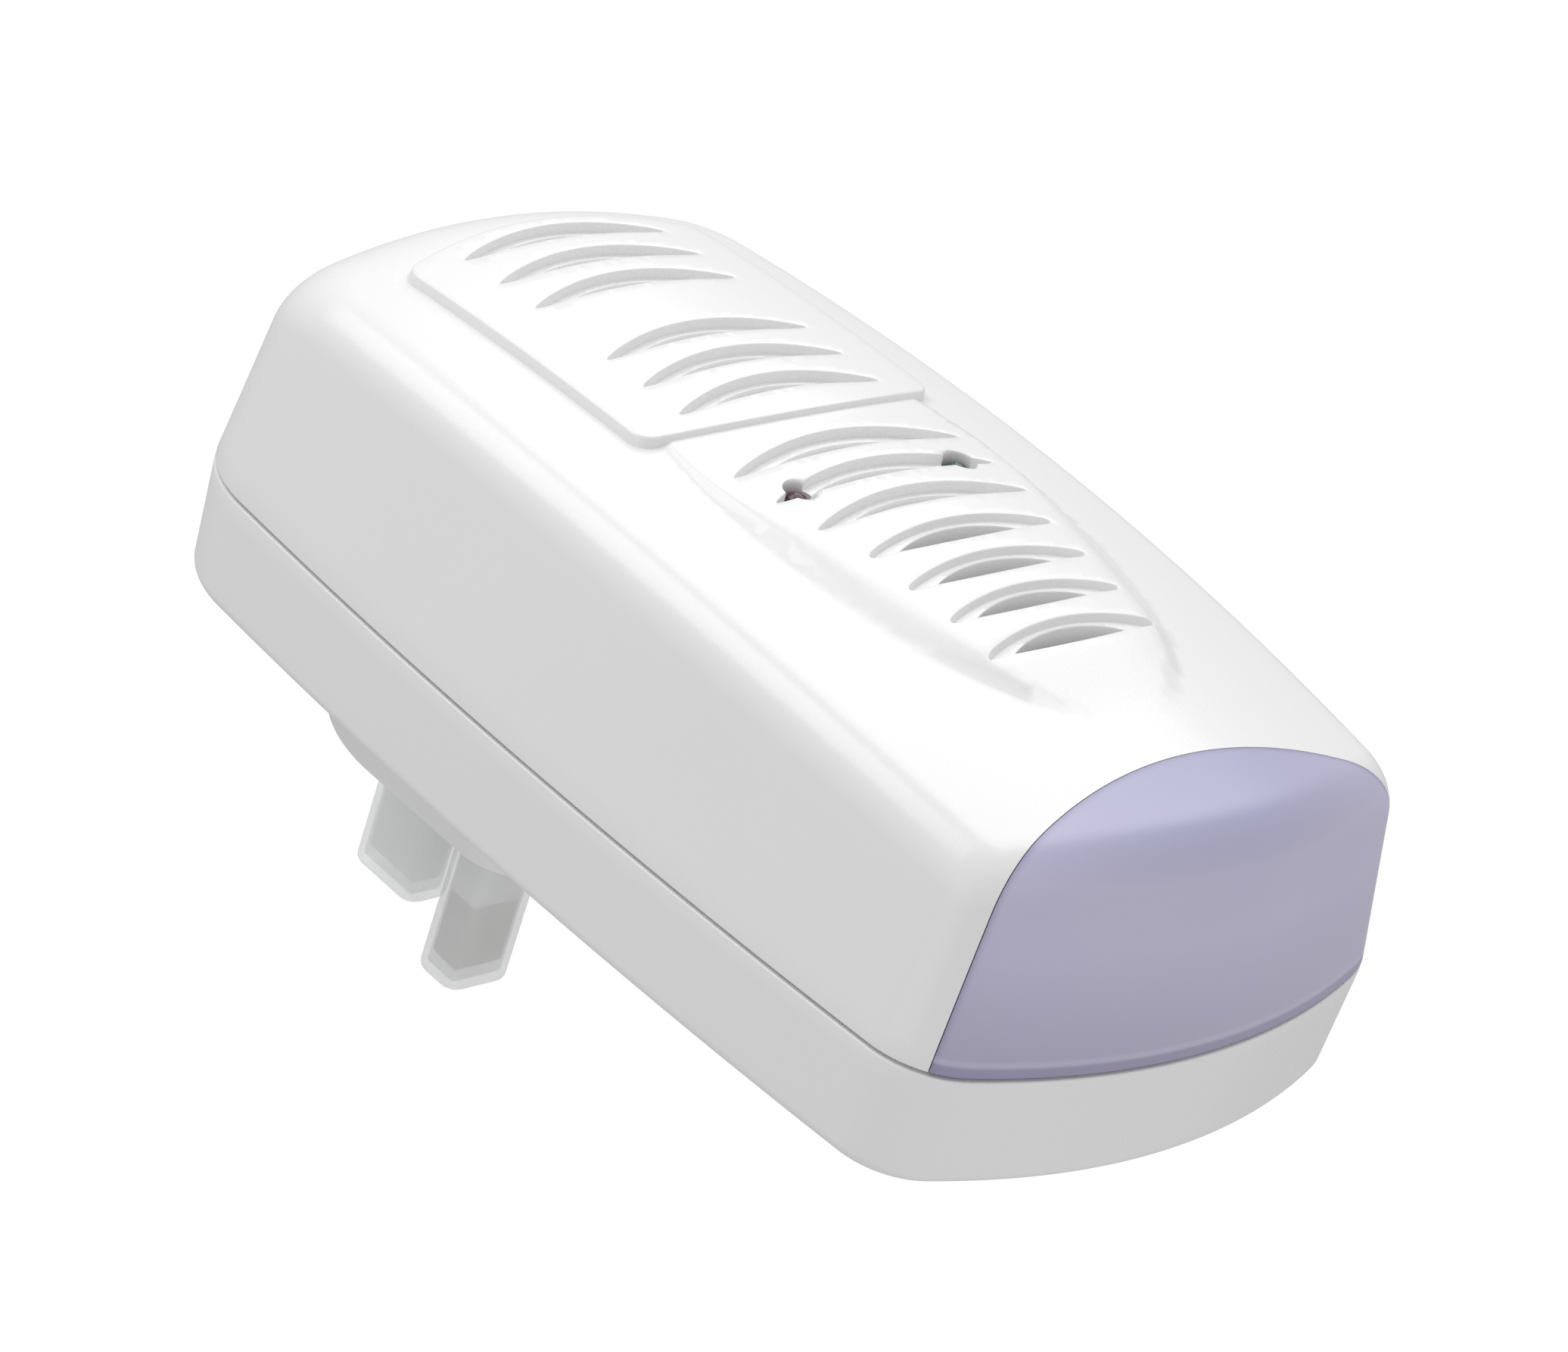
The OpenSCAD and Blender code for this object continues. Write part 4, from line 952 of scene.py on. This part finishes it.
case_white = moulded("gloss white case", (0.83, 0.83, 0.83), 0.27, 0.0000005, Coat_Weight=0.15,
                     Coat_Roughness=0.12)
plug_white = moulded("satin white plug", (0.84, 0.84, 0.85), 0.38, 0.000012)
earth_white = moulded("earth pin white", (0.86, 0.87, 0.88), 0.42, 0.000012)
sleeve_white = moulded("pin sleeve white", (0.88, 0.88, 0.87), 0.5, 0.000012)
retainer_grey = moulded("retainer grey", (0.05, 0.05, 0.055), 0.5, 0.00002)
speaker_black = moulded("speaker black", (0.045, 0.042, 0.04), 0.45, 0.00002)
spacer_black = moulded("spacer black", (0.02, 0.02, 0.022), 0.5, 0.00002)
epoxy_black = moulded("moulded epoxy", (0.018, 0.018, 0.02), 0.55, 0.00003, grain_scale=4000)
capacitor_yellow = moulded("capacitor yellow", (0.62, 0.36, 0.03), 0.35, 0.00002)
film_green = moulded("dipped green lacquer", (0.03, 0.12, 0.05), 0.22, 0.00006, grain_scale=500,
                     Coat_Weight=0.6)
baffle_white = moulded("baffle white", (0.82, 0.82, 0.82), 0.6, 0.00003)
ferrite = moulded("ferrite", (0.03, 0.03, 0.032), 0.7, 0.00006, grain_scale=5000)
foam = moulded("closed cell foam", (0.10, 0.09, 0.085), 0.85, 0.0002, 0.3, 1400)
wire_brown = moulded("brown wire insulation", (0.16, 0.05, 0.02), 0.35, 0.00004, 0.15, 900)
wire_red = moulded("red wire insulation", (0.42, 0.02, 0.02), 0.35, 0.00004, 0.15, 900)
print("plastics ready")


# %% [markdown]
# ### The lilac lens
# The lens is milky: light goes in, scatters and comes out lilac. Its colour carries painted shade
# and light. Painted shade deepens it towards its foot, along the seam, and most in a band at its
# foot by the parting gap, while painted light makes it paler low down on its right side. A paler
# line runs just above that band, and the top of the roll is darker and bluer.

# %% Lens finish
LENS_H = 20                       # height over which the lens's colour changes


def lens_finish():
    finish = Finish("milky lilac lens", Transmission_Weight=0.1, IOR=1.49, Coat_Weight=0.12,
                    Coat_Roughness=0.3)
    x, y, z = finish.axes()
    height = y * -1.0 - FRONT_RIM_D * MM
    up = height / (LENS_H * MM)
    above_arch = z - (ARCH_TOP - ARCH_R) * MM
    to_seam = ARCH_R * MM - (x * x + above_arch * above_arch) ** 0.5
    cloud = ((finish.noise(40) - 0.42) * 2.5).clamped()
    lit = (x / (60 * MM) + 0.5).clamped() * 0.6 * (1 - up.clamped())
    # seam: painted shade along the seam with the case
    seam = 1 - (to_seam / (0.9 * MM)).clamped()
    # rim: painted shadow in a band at the lens's foot, by the parting gap
    rim = 1 - ((height - 0.9 * MM) / (0.35 * MM)).clamped()
    line = (1 - ((height - 1.45 * MM) / (0.4 * MM)) ** 2).clamped()
    # the body is darker towards the foot: painted shade
    body = finish.mix((up * 1.6).clamped(), (0.45, 0.42, 0.56), (0.60, 0.57, 0.75))
    # each row: how much of a colour is laid over those before it
    for share, tone in (((up * 3.2 - 3.1).clamped(), (0.38, 0.38, 0.55)),
                        (cloud * 0.35, (0.46, 0.49, 0.76)), (lit, (0.64, 0.61, 0.80)),
                        (seam ** 2 * 0.6, (0.20, 0.18, 0.32)), (rim * 0.45, (0.21, 0.18, 0.34)),
                        (line * 0.35, (0.66, 0.64, 0.82))):
        body = finish.mix(share, body, tone)
    finish.set("Base Color", body)
    finish.set("Roughness", finish.noise(1200) * 0.06 + 0.31)
    return finish.bump(finish.noise(60, 1.0), 0.0001, 0.5)


lilac_lens = lens_finish()
print("nodes in the lens's finish", len(lilac_lens.tree.nodes))


# %% [markdown]
# ### Frosted and clear plastics
# Real frosted polypropylene blurs what lies behind it. Here the cover is part see-through by its
# alpha, which keeps the pins in sight. The small lights' epoxy and the fuse's glass transmit light.

# %% Clear finishes
def see_through(name, base, through, rough, **more):
    finish = Finish(name, Transmission_Weight=through, IOR=1.49, **more)
    finish.paint(finish.noise(160), base, darker(base, 0.06))
    finish.set("Roughness", finish.noise(1500) * 0.08 + (rough - 0.04))
    return finish


frosted = see_through("frosted cover", (0.95, 0.96, 0.96), 0.0, 0.4, Alpha=0.46)
# The two lights' tints are their epoxy's own colour, darkened with painted shade to the dark of their
# holes.
led_red = see_through("tinted red epoxy", (0.07, 0.025, 0.035), 0.1, 0.2)
led_green = see_through("tinted green epoxy", (0.045, 0.085, 0.06), 0.1, 0.2)
led_clear = see_through("water clear epoxy", (0.88, 0.9, 0.95), 0.7, 0.08)
fuse_glass = see_through("fuse glass", (0.88, 0.92, 0.92), 0.7, 0.05)
print("clear finishes ready")


# %% [markdown]
# ### Metals
# Stamped and turned metal carries fine lines and small changes of gloss. Stretching a noise along
# one axis draws those lines.

# %% Metal finishes
def metal(name, base, rough, along=(1, 0.05, 1), line_scale=2500, depth=0.000006):
    finish = Finish(name, Metallic=1.0)
    lines = finish.noise(line_scale, 2.0, along)
    cloud = finish.noise(120)
    finish.paint(cloud, base, darker(base, 0.14))
    finish.set("Roughness", lines * 0.14 + cloud * 0.06 + (rough - 0.1))
    return finish.bump(lines, depth)


pin_metal = metal("dull pin metal", (0.36, 0.335, 0.28), 0.42)
screw_steel = metal("zinc plated steel", (0.52, 0.53, 0.56), 0.32, (1, 1, 1), 900)
solder = metal("solder", (0.55, 0.55, 0.57), 0.25, (1, 1, 1), 700)
piezo_brass = metal("piezo brass", (0.66, 0.48, 0.16), 0.3, (1, 1, 0.05))


def enamelled_copper():
    """Copper wire under clear brown enamel that is a little uneven."""
    finish = Finish("enamelled copper", Metallic=1.0, Coat_Weight=0.4)
    cloud = finish.noise(600)
    finish.paint(cloud, (0.58, 0.26, 0.11), (0.42, 0.17, 0.07))
    finish.set("Roughness", cloud * 0.12 + 0.24)
    return finish.bump(cloud, 0.00001)


copper = enamelled_copper()


def speckled_board():
    """Paper-phenolic board: tan, with fibres that show as faint streaks."""
    finish = Finish("phenolic board")
    fibre = finish.noise(900, 3.0, (1, 1, 0.2))
    finish.paint(fibre, (0.50, 0.33, 0.11), (0.38, 0.23, 0.07))
    finish.set("Roughness", fibre * 0.2 + 0.4)
    return finish.bump(fibre, 0.00002)


def banded_resistors():
    """Tan lacquer with painted rings: brown and red near the ends, gold at one end."""
    finish = Finish("banded resistor")
    x = finish.axes()[0]
    column = finish.node("ShaderNodeMath", {"operation": "PINGPONG"}, {0: x, 1: 5 * MM})
    body = finish.mix(finish.noise(300), (0.58, 0.42, 0.22), (0.50, 0.34, 0.17))
    bands = ((0.6, (0.10, 0.03, 0.01)), (1.5, (0.45, 0.02, 0.02)), (2.5, (0.45, 0.28, 0.06)))
    for middle, paint in bands:
        ring = (1 - ((column - middle * MM) / (0.28 * MM)) ** 4).clamped()
        body = finish.mix(ring, body, paint)
    finish.set("Base Color", body)
    finish.set("Roughness", finish.noise(900) * 0.1 + 0.35)
    return finish


def pressed_paper():
    """The speaker's cone: pressed paper pulp."""
    finish = Finish("pressed paper cone")
    pulp = finish.noise(1500, 4.0)
    finish.paint(pulp, (0.20, 0.16, 0.13), (0.12, 0.10, 0.08))
    finish.set("Roughness", pulp * 0.1 + 0.8)
    return finish.bump(pulp, 0.0001)


def shrink_sleeve():
    """The smoothing capacitor's printed sleeve: near black, with one pale stripe down its side."""
    finish = Finish("capacitor sleeve", Coat_Weight=0.3)
    centre = solids_of("smoothing_capacitor")[0][0]
    x = finish.axes()[0]
    stripe = (1 - ((x - (centre.x - 4.2 * MM)) / (0.9 * MM)) ** 4).clamped()
    finish.paint(stripe, (0.012, 0.014, 0.03), (0.45, 0.45, 0.47))
    finish.set("Roughness", finish.noise(700) * 0.08 + 0.28)
    return finish


board_tan, resistor_tan = speckled_board(), banded_resistors()
paper, capacitor_sleeve = pressed_paper(), shrink_sleeve()
print("finishes", len(bpy.data.materials))

# %% [markdown]
# ## Small turned parts
# Screws, resistors, diodes and solder joints repeat, and each is a body of revolution.
# One is turned from a profile, and a Geometry Nodes group sets a copy at each place that the
# imported model gives. Screws also end up turned by different amounts, so the group takes a
# turn and a seed.


# %% Turning a profile
def turned(name, profile, axis="Y", segments=32):
    """A body of revolution. Profile holds [radius, distance along the axis] pairs, in
    millimetres, from axis to axis."""
    mesh = bpy.data.meshes.new(name)
    angles = np.arange(segments) * TURN / segments
    points, rings = [], []
    for r, along in profile:
        start = len(points)
        for a in angles if r > 0 else [0]:
            across = (r * math.cos(a), r * math.sin(a))
            where = {"Y": (across[0], along, across[1]), "X": (along, *across)}[axis]
            points.append([c * MM for c in where])
        rings.append(list(range(start, len(points))))
    faces = []
    for a, b in zip(rings, rings[1:]):
        for k in range(segments):
            n = (k + 1) % segments
            corner = [a[k % len(a)], a[n % len(a)], b[n % len(b)], b[k % len(b)]]
            faces.append(list(dict.fromkeys(corner)))
    mesh.from_pydata(points, [], faces)
    work = bmesh.new()
    work.from_mesh(mesh)
    bmesh.ops.recalc_face_normals(work, faces=work.faces)
    work.to_mesh(mesh)
    work.free()
    smooth(mesh, math.radians(35))
    return link(name, mesh)


# %% The group that sets copies
def node_group(name, inputs, nodes, wires):
    """A Geometry Nodes group that makes real and paints what its wires bring to "real".
    A wire is a node, its output, a node and its input."""
    group = bpy.data.node_groups.new(name, "GeometryNodeTree")
    for label, kind in {**inputs, "Finish": "Material"}.items():
        group.interface.new_socket(label, in_out="INPUT", socket_type="NodeSocket" + kind)
    group.interface.new_socket("Geometry", in_out="OUTPUT", socket_type="NodeSocketGeometry")
    ends = {"in": "NodeGroupInput", "real": "GeometryNodeRealizeInstances",
            "paint": "GeometryNodeSetMaterial", "out": "NodeGroupOutput"}
    made = {key: group.nodes.new(kind) for key, kind in {**nodes, **ends}.items()}
    for a, out, b, into in (*wires, ("real", "Geometry", "paint", "Geometry"),
                            ("in", "Finish", "paint", "Material"),
                            ("paint", "Geometry", "out", "Geometry")):
        group.links.new(made[a].outputs[out], made[b].inputs[into])
    return group


def run_group(piece, group, values):
    """Runs a group on a piece, with a value for each named input, and keeps what it makes."""
    step = piece.modifiers.new(group.name, "NODES")
    step.node_group = group
    for item in group.interface.items_tree:
        if item.name in values:
            step[item.identifier] = values[item.name]
    return settle(piece)


COPIES = node_group(
    "copies at places",
    {"Places": "Geometry", "Part": "Object", "Turn": "Float", "Seed": "Int"},
    {"part": "GeometryNodeObjectInfo", "random": "FunctionNodeRandomValue",
     "turn": "ShaderNodeCombineXYZ", "copy": "GeometryNodeInstanceOnPoints"},
    (("in", "Part", "part", "Object"), ("in", "Places", "copy", "Points"),
     ("part", "Geometry", "copy", "Instance"), ("in", "Seed", "random", "Seed"),
     ("in", "Turn", "random", 3), ("random", 1, "turn", "Y"),
     ("turn", "Vector", "copy", "Rotation"), ("copy", "Instances", "real", "Geometry")))


def set_copies(name, part, places, finish, turn=0.0, seed=1):
    """Sets a copy of part at each place, as one plain mesh. The part is used up."""
    mesh = bpy.data.meshes.new(name)
    mesh.from_pydata([tuple(p) for p in places], [], [])
    piece = run_group(link(name, mesh), COPIES, {"Part": part, "Finish": finish.material,
                                                 "Turn": turn, "Seed": seed})
    bpy.data.objects.remove(part)
    print(name, "copies", len(places), "faces", len(piece.data.polygons))
    return piece


print("the group that sets copies has", len(COPIES.nodes), "nodes")


# %% Screws
def screw(length, towards_front):
    """A pan head screw with rolled threads. Its place is the middle of its whole length."""
    thread, whole = 0.8, length + HEAD_H
    profile = [(0, 0), (2.05, 0), (2.35, 0.18), (2.5, 0.6), (2.5, HEAD_H - 0.15),
               (2.35, HEAD_H), (SCREW_R, HEAD_H)]
    turns = int((length - 1.2) / thread)
    for k in range(turns):
        at = HEAD_H + 0.5 + k * thread
        profile += [(SCREW_R - 0.2, at), (SCREW_R, at + thread / 2)]
    profile += [(SCREW_R - 0.2, whole - 0.5), (0.5, whole), (0, whole)]
    way = -1 if towards_front else 1
    part = turned("screw", [(r, way * (along - whole / 2)) for r, along in profile])
    for spin in (0, math.pi / 2):
        bar = bpy.data.meshes.new("slot")
        work = bmesh.new()
        bmesh.ops.create_cube(work, size=1.0)
        size = Matrix.Diagonal((3.0 * MM, 1.6 * MM, 0.6 * MM, 1.0))
        work.transform(Matrix.Rotation(spin, 4, "Y") @ size)
        work.transform(Matrix.Translation((0, -way * whole / 2 * MM, 0)))
        work.to_mesh(bar)
        work.free()
        combine(part, "DIFFERENCE", link("slot", bar))
    smooth(part.data, math.radians(35))
    return part


replacements = {}
for k, (node, name, to_front) in enumerate((
        ("case_screws", "case_screw_set", True), ("board_screws", "board_screw_set", False),
        ("plug_block_screws", "plug_screw_set", False),
        ("retainer_screws", "retainer_screw_set", False))):
    found = solids_of(node)
    length = found[0][1].y / MM - HEAD_H
    replacements[node] = set_copies(name, screw(length, to_front), [f[0] for f in found],
                                    screw_steel, TURN, 11 + k)

# %% Resistors, diodes and solder joints
resistor_profile = [(0, -3.2), (0.9, -3.2), (1.15, -2.95), (1.2, -2.4), (1.0, -1.7), (0.98, 1.7),
                    (1.2, 2.4), (1.15, 2.95), (0.9, 3.2), (0, 3.2)]
diode_profile = [(0, -2.6), (1.1, -2.6), (1.28, -2.4), (1.28, 2.4), (1.1, 2.6), (0, 2.6)]
bead_profile = [(0, -0.45), (0.9, -0.45), (0.72, -0.3), (0.5, 0.0), (0.4, 0.3), (0.3, 0.42),
                (0, 0.45)]
for node, name, profile, axis, finish in (
        ("resistors", "resistor_bodies", resistor_profile, "X", resistor_tan),
        ("rectifier_diodes", "diode_bodies", diode_profile, "X", epoxy_black),
        ("solder_joints", "solder_beads", bead_profile, "Y", solder)):
    places = [f[0] for f in solids_of(node)]
    replacements[node] = set_copies(name, turned(name + "_one", profile, axis, 24), places, finish)

# %% [markdown]
# ## The coil's winding
# The winding follows a rule: one wire goes round the core in a helix, with each turn touching the
# next. Its group takes the number of turns, the helix's radius and length, and the wire's radius.


# %% The group that winds a wire
WINDING = node_group(
    "wound wire",
    {"Turns": "Float", "Radius": "Float", "Length": "Float", "Wire Radius": "Float",
     "Foot": "Vector"},
    {"helix": "GeometryNodeCurveSpiral", "round": "GeometryNodeCurvePrimitiveCircle",
     "wire": "GeometryNodeCurveToMesh", "stand": "GeometryNodeTransform"},
    (("in", "Turns", "helix", "Rotations"), ("in", "Radius", "helix", "Start Radius"),
     ("in", "Radius", "helix", "End Radius"), ("in", "Length", "helix", "Height"),
     ("in", "Wire Radius", "round", "Radius"), ("helix", "Curve", "wire", "Curve"),
     ("round", "Curve", "wire", "Profile Curve"), ("wire", "Mesh", "stand", "Geometry"),
     ("in", "Foot", "stand", "Translation"), ("stand", "Geometry", "real", "Geometry")))
for kind, socket, value in (("CurveSpiral", "Resolution", 28),
                            ("CurvePrimitiveCircle", "Resolution", 8),
                            ("CurveToMesh", "Fill Caps", True),
                            ("Transform", "Rotation", (math.pi / 2, 0, 0))):
    node = next(n for n in WINDING.nodes if n.bl_idname == "GeometryNode" + kind)
    node.inputs[socket].default_value = value


def wind(name, node, wire_r, finish):
    """A wire wound in a helix that fills a CAD node's drum."""
    low, high = box_mm(node)
    middle, length = (low + high) / 2, high[2] - low[2] - 2 * wire_r
    foot = Vector((middle[0], -low[2] - wire_r, middle[1])) * MM
    values = {"Turns": length / (2 * wire_r), "Radius": (high[0] - middle[0] - wire_r) * MM,
              "Length": length * MM, "Wire Radius": wire_r * MM, "Foot": foot,
              "Finish": finish.material}
    piece = run_group(link(name, bpy.data.meshes.new(name)), WINDING, values)
    smooth(piece.data)
    print(name, "turns", round(values["Turns"], 1), "faces", len(piece.data.polygons))
    return piece


replacements["coil_winding"] = wind("coil_wire", "coil_winding", 0.17, copper)

# %% [markdown]
# ## Putting it together
# Each made piece rides on the body that its CAD node belongs to and stands for that node. The nodes
# that stay get their finish on their own material slots.

# %% Riding, replacing and finishing
body_of = {node: body for body, nodes in frame["record"]["behaviour"]["bodies"].items()
           for node in nodes}


def hand_over(piece, node, finish=None):
    if finish:
        piece.data.materials.clear()
        piece.data.materials.append(finish.material)
    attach(piece, body_of[node])
    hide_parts(node)


hand_over(front_shell, "front_shell", case_white)
hand_over(rear_shell, "rear_shell", case_white)
hand_over(night_lens, "night_light_lens", lilac_lens)
hand_over(pin_cover, "pin_cover", frosted)
soft_finish = {"plug_block": plug_white, "live_pin": pin_metal, "neutral_pin": pin_metal,
               "earth_pin": earth_white, "pin_retainer": retainer_grey,
               "dropper_capacitor": capacitor_yellow, "film_capacitors": film_green,
               "coil_core": ferrite}
for node, piece in softened.items():
    hand_over(piece, node, soft_finish[node])
for node, piece in replacements.items():
    hand_over(piece, node)

kept_finish = {
    "pin_sleeves": sleeve_white, "circuit_board": board_tan, "mains_wires": wire_brown,
    "fuse": fuse_glass, "smoothing_capacitor": capacitor_sleeve,
    "oscillator_chip": epoxy_black, "driver_transistors": epoxy_black,
    "red_indicator_led": led_red, "green_indicator_led": led_green, "led_spacers": spacer_black,
    "night_light_leds": led_clear, "light_baffle": baffle_white,
    "speaker_housing": speaker_black, "speaker_diaphragm": paper, "piezo_disc": piezo_brass,
    "speaker_gasket": foam, "speaker_wires": wire_red}
for node, finish in kept_finish.items():
    mesh = frame["nodes"][node].data
    mesh.materials.clear()
    mesh.materials.append(finish.material)
skins = set(frame["nodes"]) - set(kept_finish) - set(softened) - set(replacements)
print("kept", len(kept_finish), "softened", len(softened), "set or wound", len(replacements),
      "made as skins", sorted(skins))

# %% [markdown]
# ## Camera, light and floor
# The object is seen from its lower left, from below, so that its front faces up in the picture.
# It is held by its plug and not standing, so the pale floor lies well below it, and the
# surroundings are a plain pale studio.

# %% Camera
CAMERA_AT = Vector((-0.45365, -0.344989, -0.399326))
RIGHT = Vector((0.714772, -0.276796, -0.642250))
UP = Vector((0.152344, -0.834665, 0.529270))
BACK = RIGHT.cross(UP)
camera = bpy.data.objects.new("camera", bpy.data.cameras.new("camera"))
bpy.context.scene.collection.objects.link(camera)
camera.data.sensor_width, camera.data.lens = 36, 151.54
camera.data.clip_start = 0.01
turn = Matrix((RIGHT, UP, BACK)).transposed()
camera.matrix_world = Matrix.Translation(CAMERA_AT) @ turn.to_4x4()
bpy.context.scene.camera = camera
print("camera looks along", [round(c, 3) for c in -BACK])


# %% Lights and floor
CASE_MIDDLE = Vector((0, -0.035, -0.03))
SOFTBOX_DISTANCE = 0.9


def softbox(name, way, size, power):
    """A rectangular area light that faces the case from a direction."""
    light = bpy.data.lights.new(name, "AREA")
    light.shape = "RECTANGLE"
    light.size, light.size_y = size
    light.energy = power
    lamp = bpy.data.objects.new(name, light)
    bpy.context.scene.collection.objects.link(lamp)
    way = Vector(way).normalized()
    lamp.location = CASE_MIDDLE + way * SOFTBOX_DISTANCE
    lamp.rotation_mode = "QUATERNION"
    lamp.rotation_quaternion = way.to_track_quat("Z", "Y")
    return lamp


softbox("front softbox", (0.5, -0.9, 0.38), (0.8, 0.8), 4.2)
softbox("left softbox", (-0.42, -0.7, 0.52), (0.5, 0.6), 2.9)
softbox("side softbox", (-1.0, -0.1, -0.2), (0.7, 0.5), 0.6)

world = bpy.data.worlds.new("pale studio")
bpy.context.scene.world = world
world.use_nodes = True
tree = world.node_tree
lighting = tree.nodes["Background"]
backdrop = tree.nodes.new("ShaderNodeBackground")
for shader, strength in ((lighting, 0.52), (backdrop, 1.0)):
    shader.inputs["Color"].default_value = (1, 1, 1, 1)
    shader.inputs["Strength"].default_value = strength
seen = tree.nodes.new("ShaderNodeLightPath")
choose = tree.nodes.new("ShaderNodeMixShader")
tree.links.new(seen.outputs["Is Camera Ray"], choose.inputs[0])
tree.links.new(lighting.outputs[0], choose.inputs[1])
tree.links.new(backdrop.outputs[0], choose.inputs[2])
tree.links.new(choose.outputs[0], tree.nodes["World Output"].inputs["Surface"])
bpy.context.scene.view_settings.view_transform = "Standard"

REACH, FLOOR_Z = 3.0, -1.2
floor_mesh = bpy.data.meshes.new("floor")
corners = [(x * REACH, y * REACH, FLOOR_Z) for x, y in ((-1, -1), (1, -1), (1, 1), (-1, 1))]
floor_mesh.from_pydata(corners, [], [(0, 1, 2, 3)])
floor = link("floor", floor_mesh)
pale_floor = moulded("pale floor", (0.92, 0.92, 0.92), 0.8, 0.00002, Emission_Strength=0.16,
                     Emission_Color=(1, 1, 1, 1))
floor_mesh.materials.append(pale_floor.material)
print("floor at", FLOOR_Z)
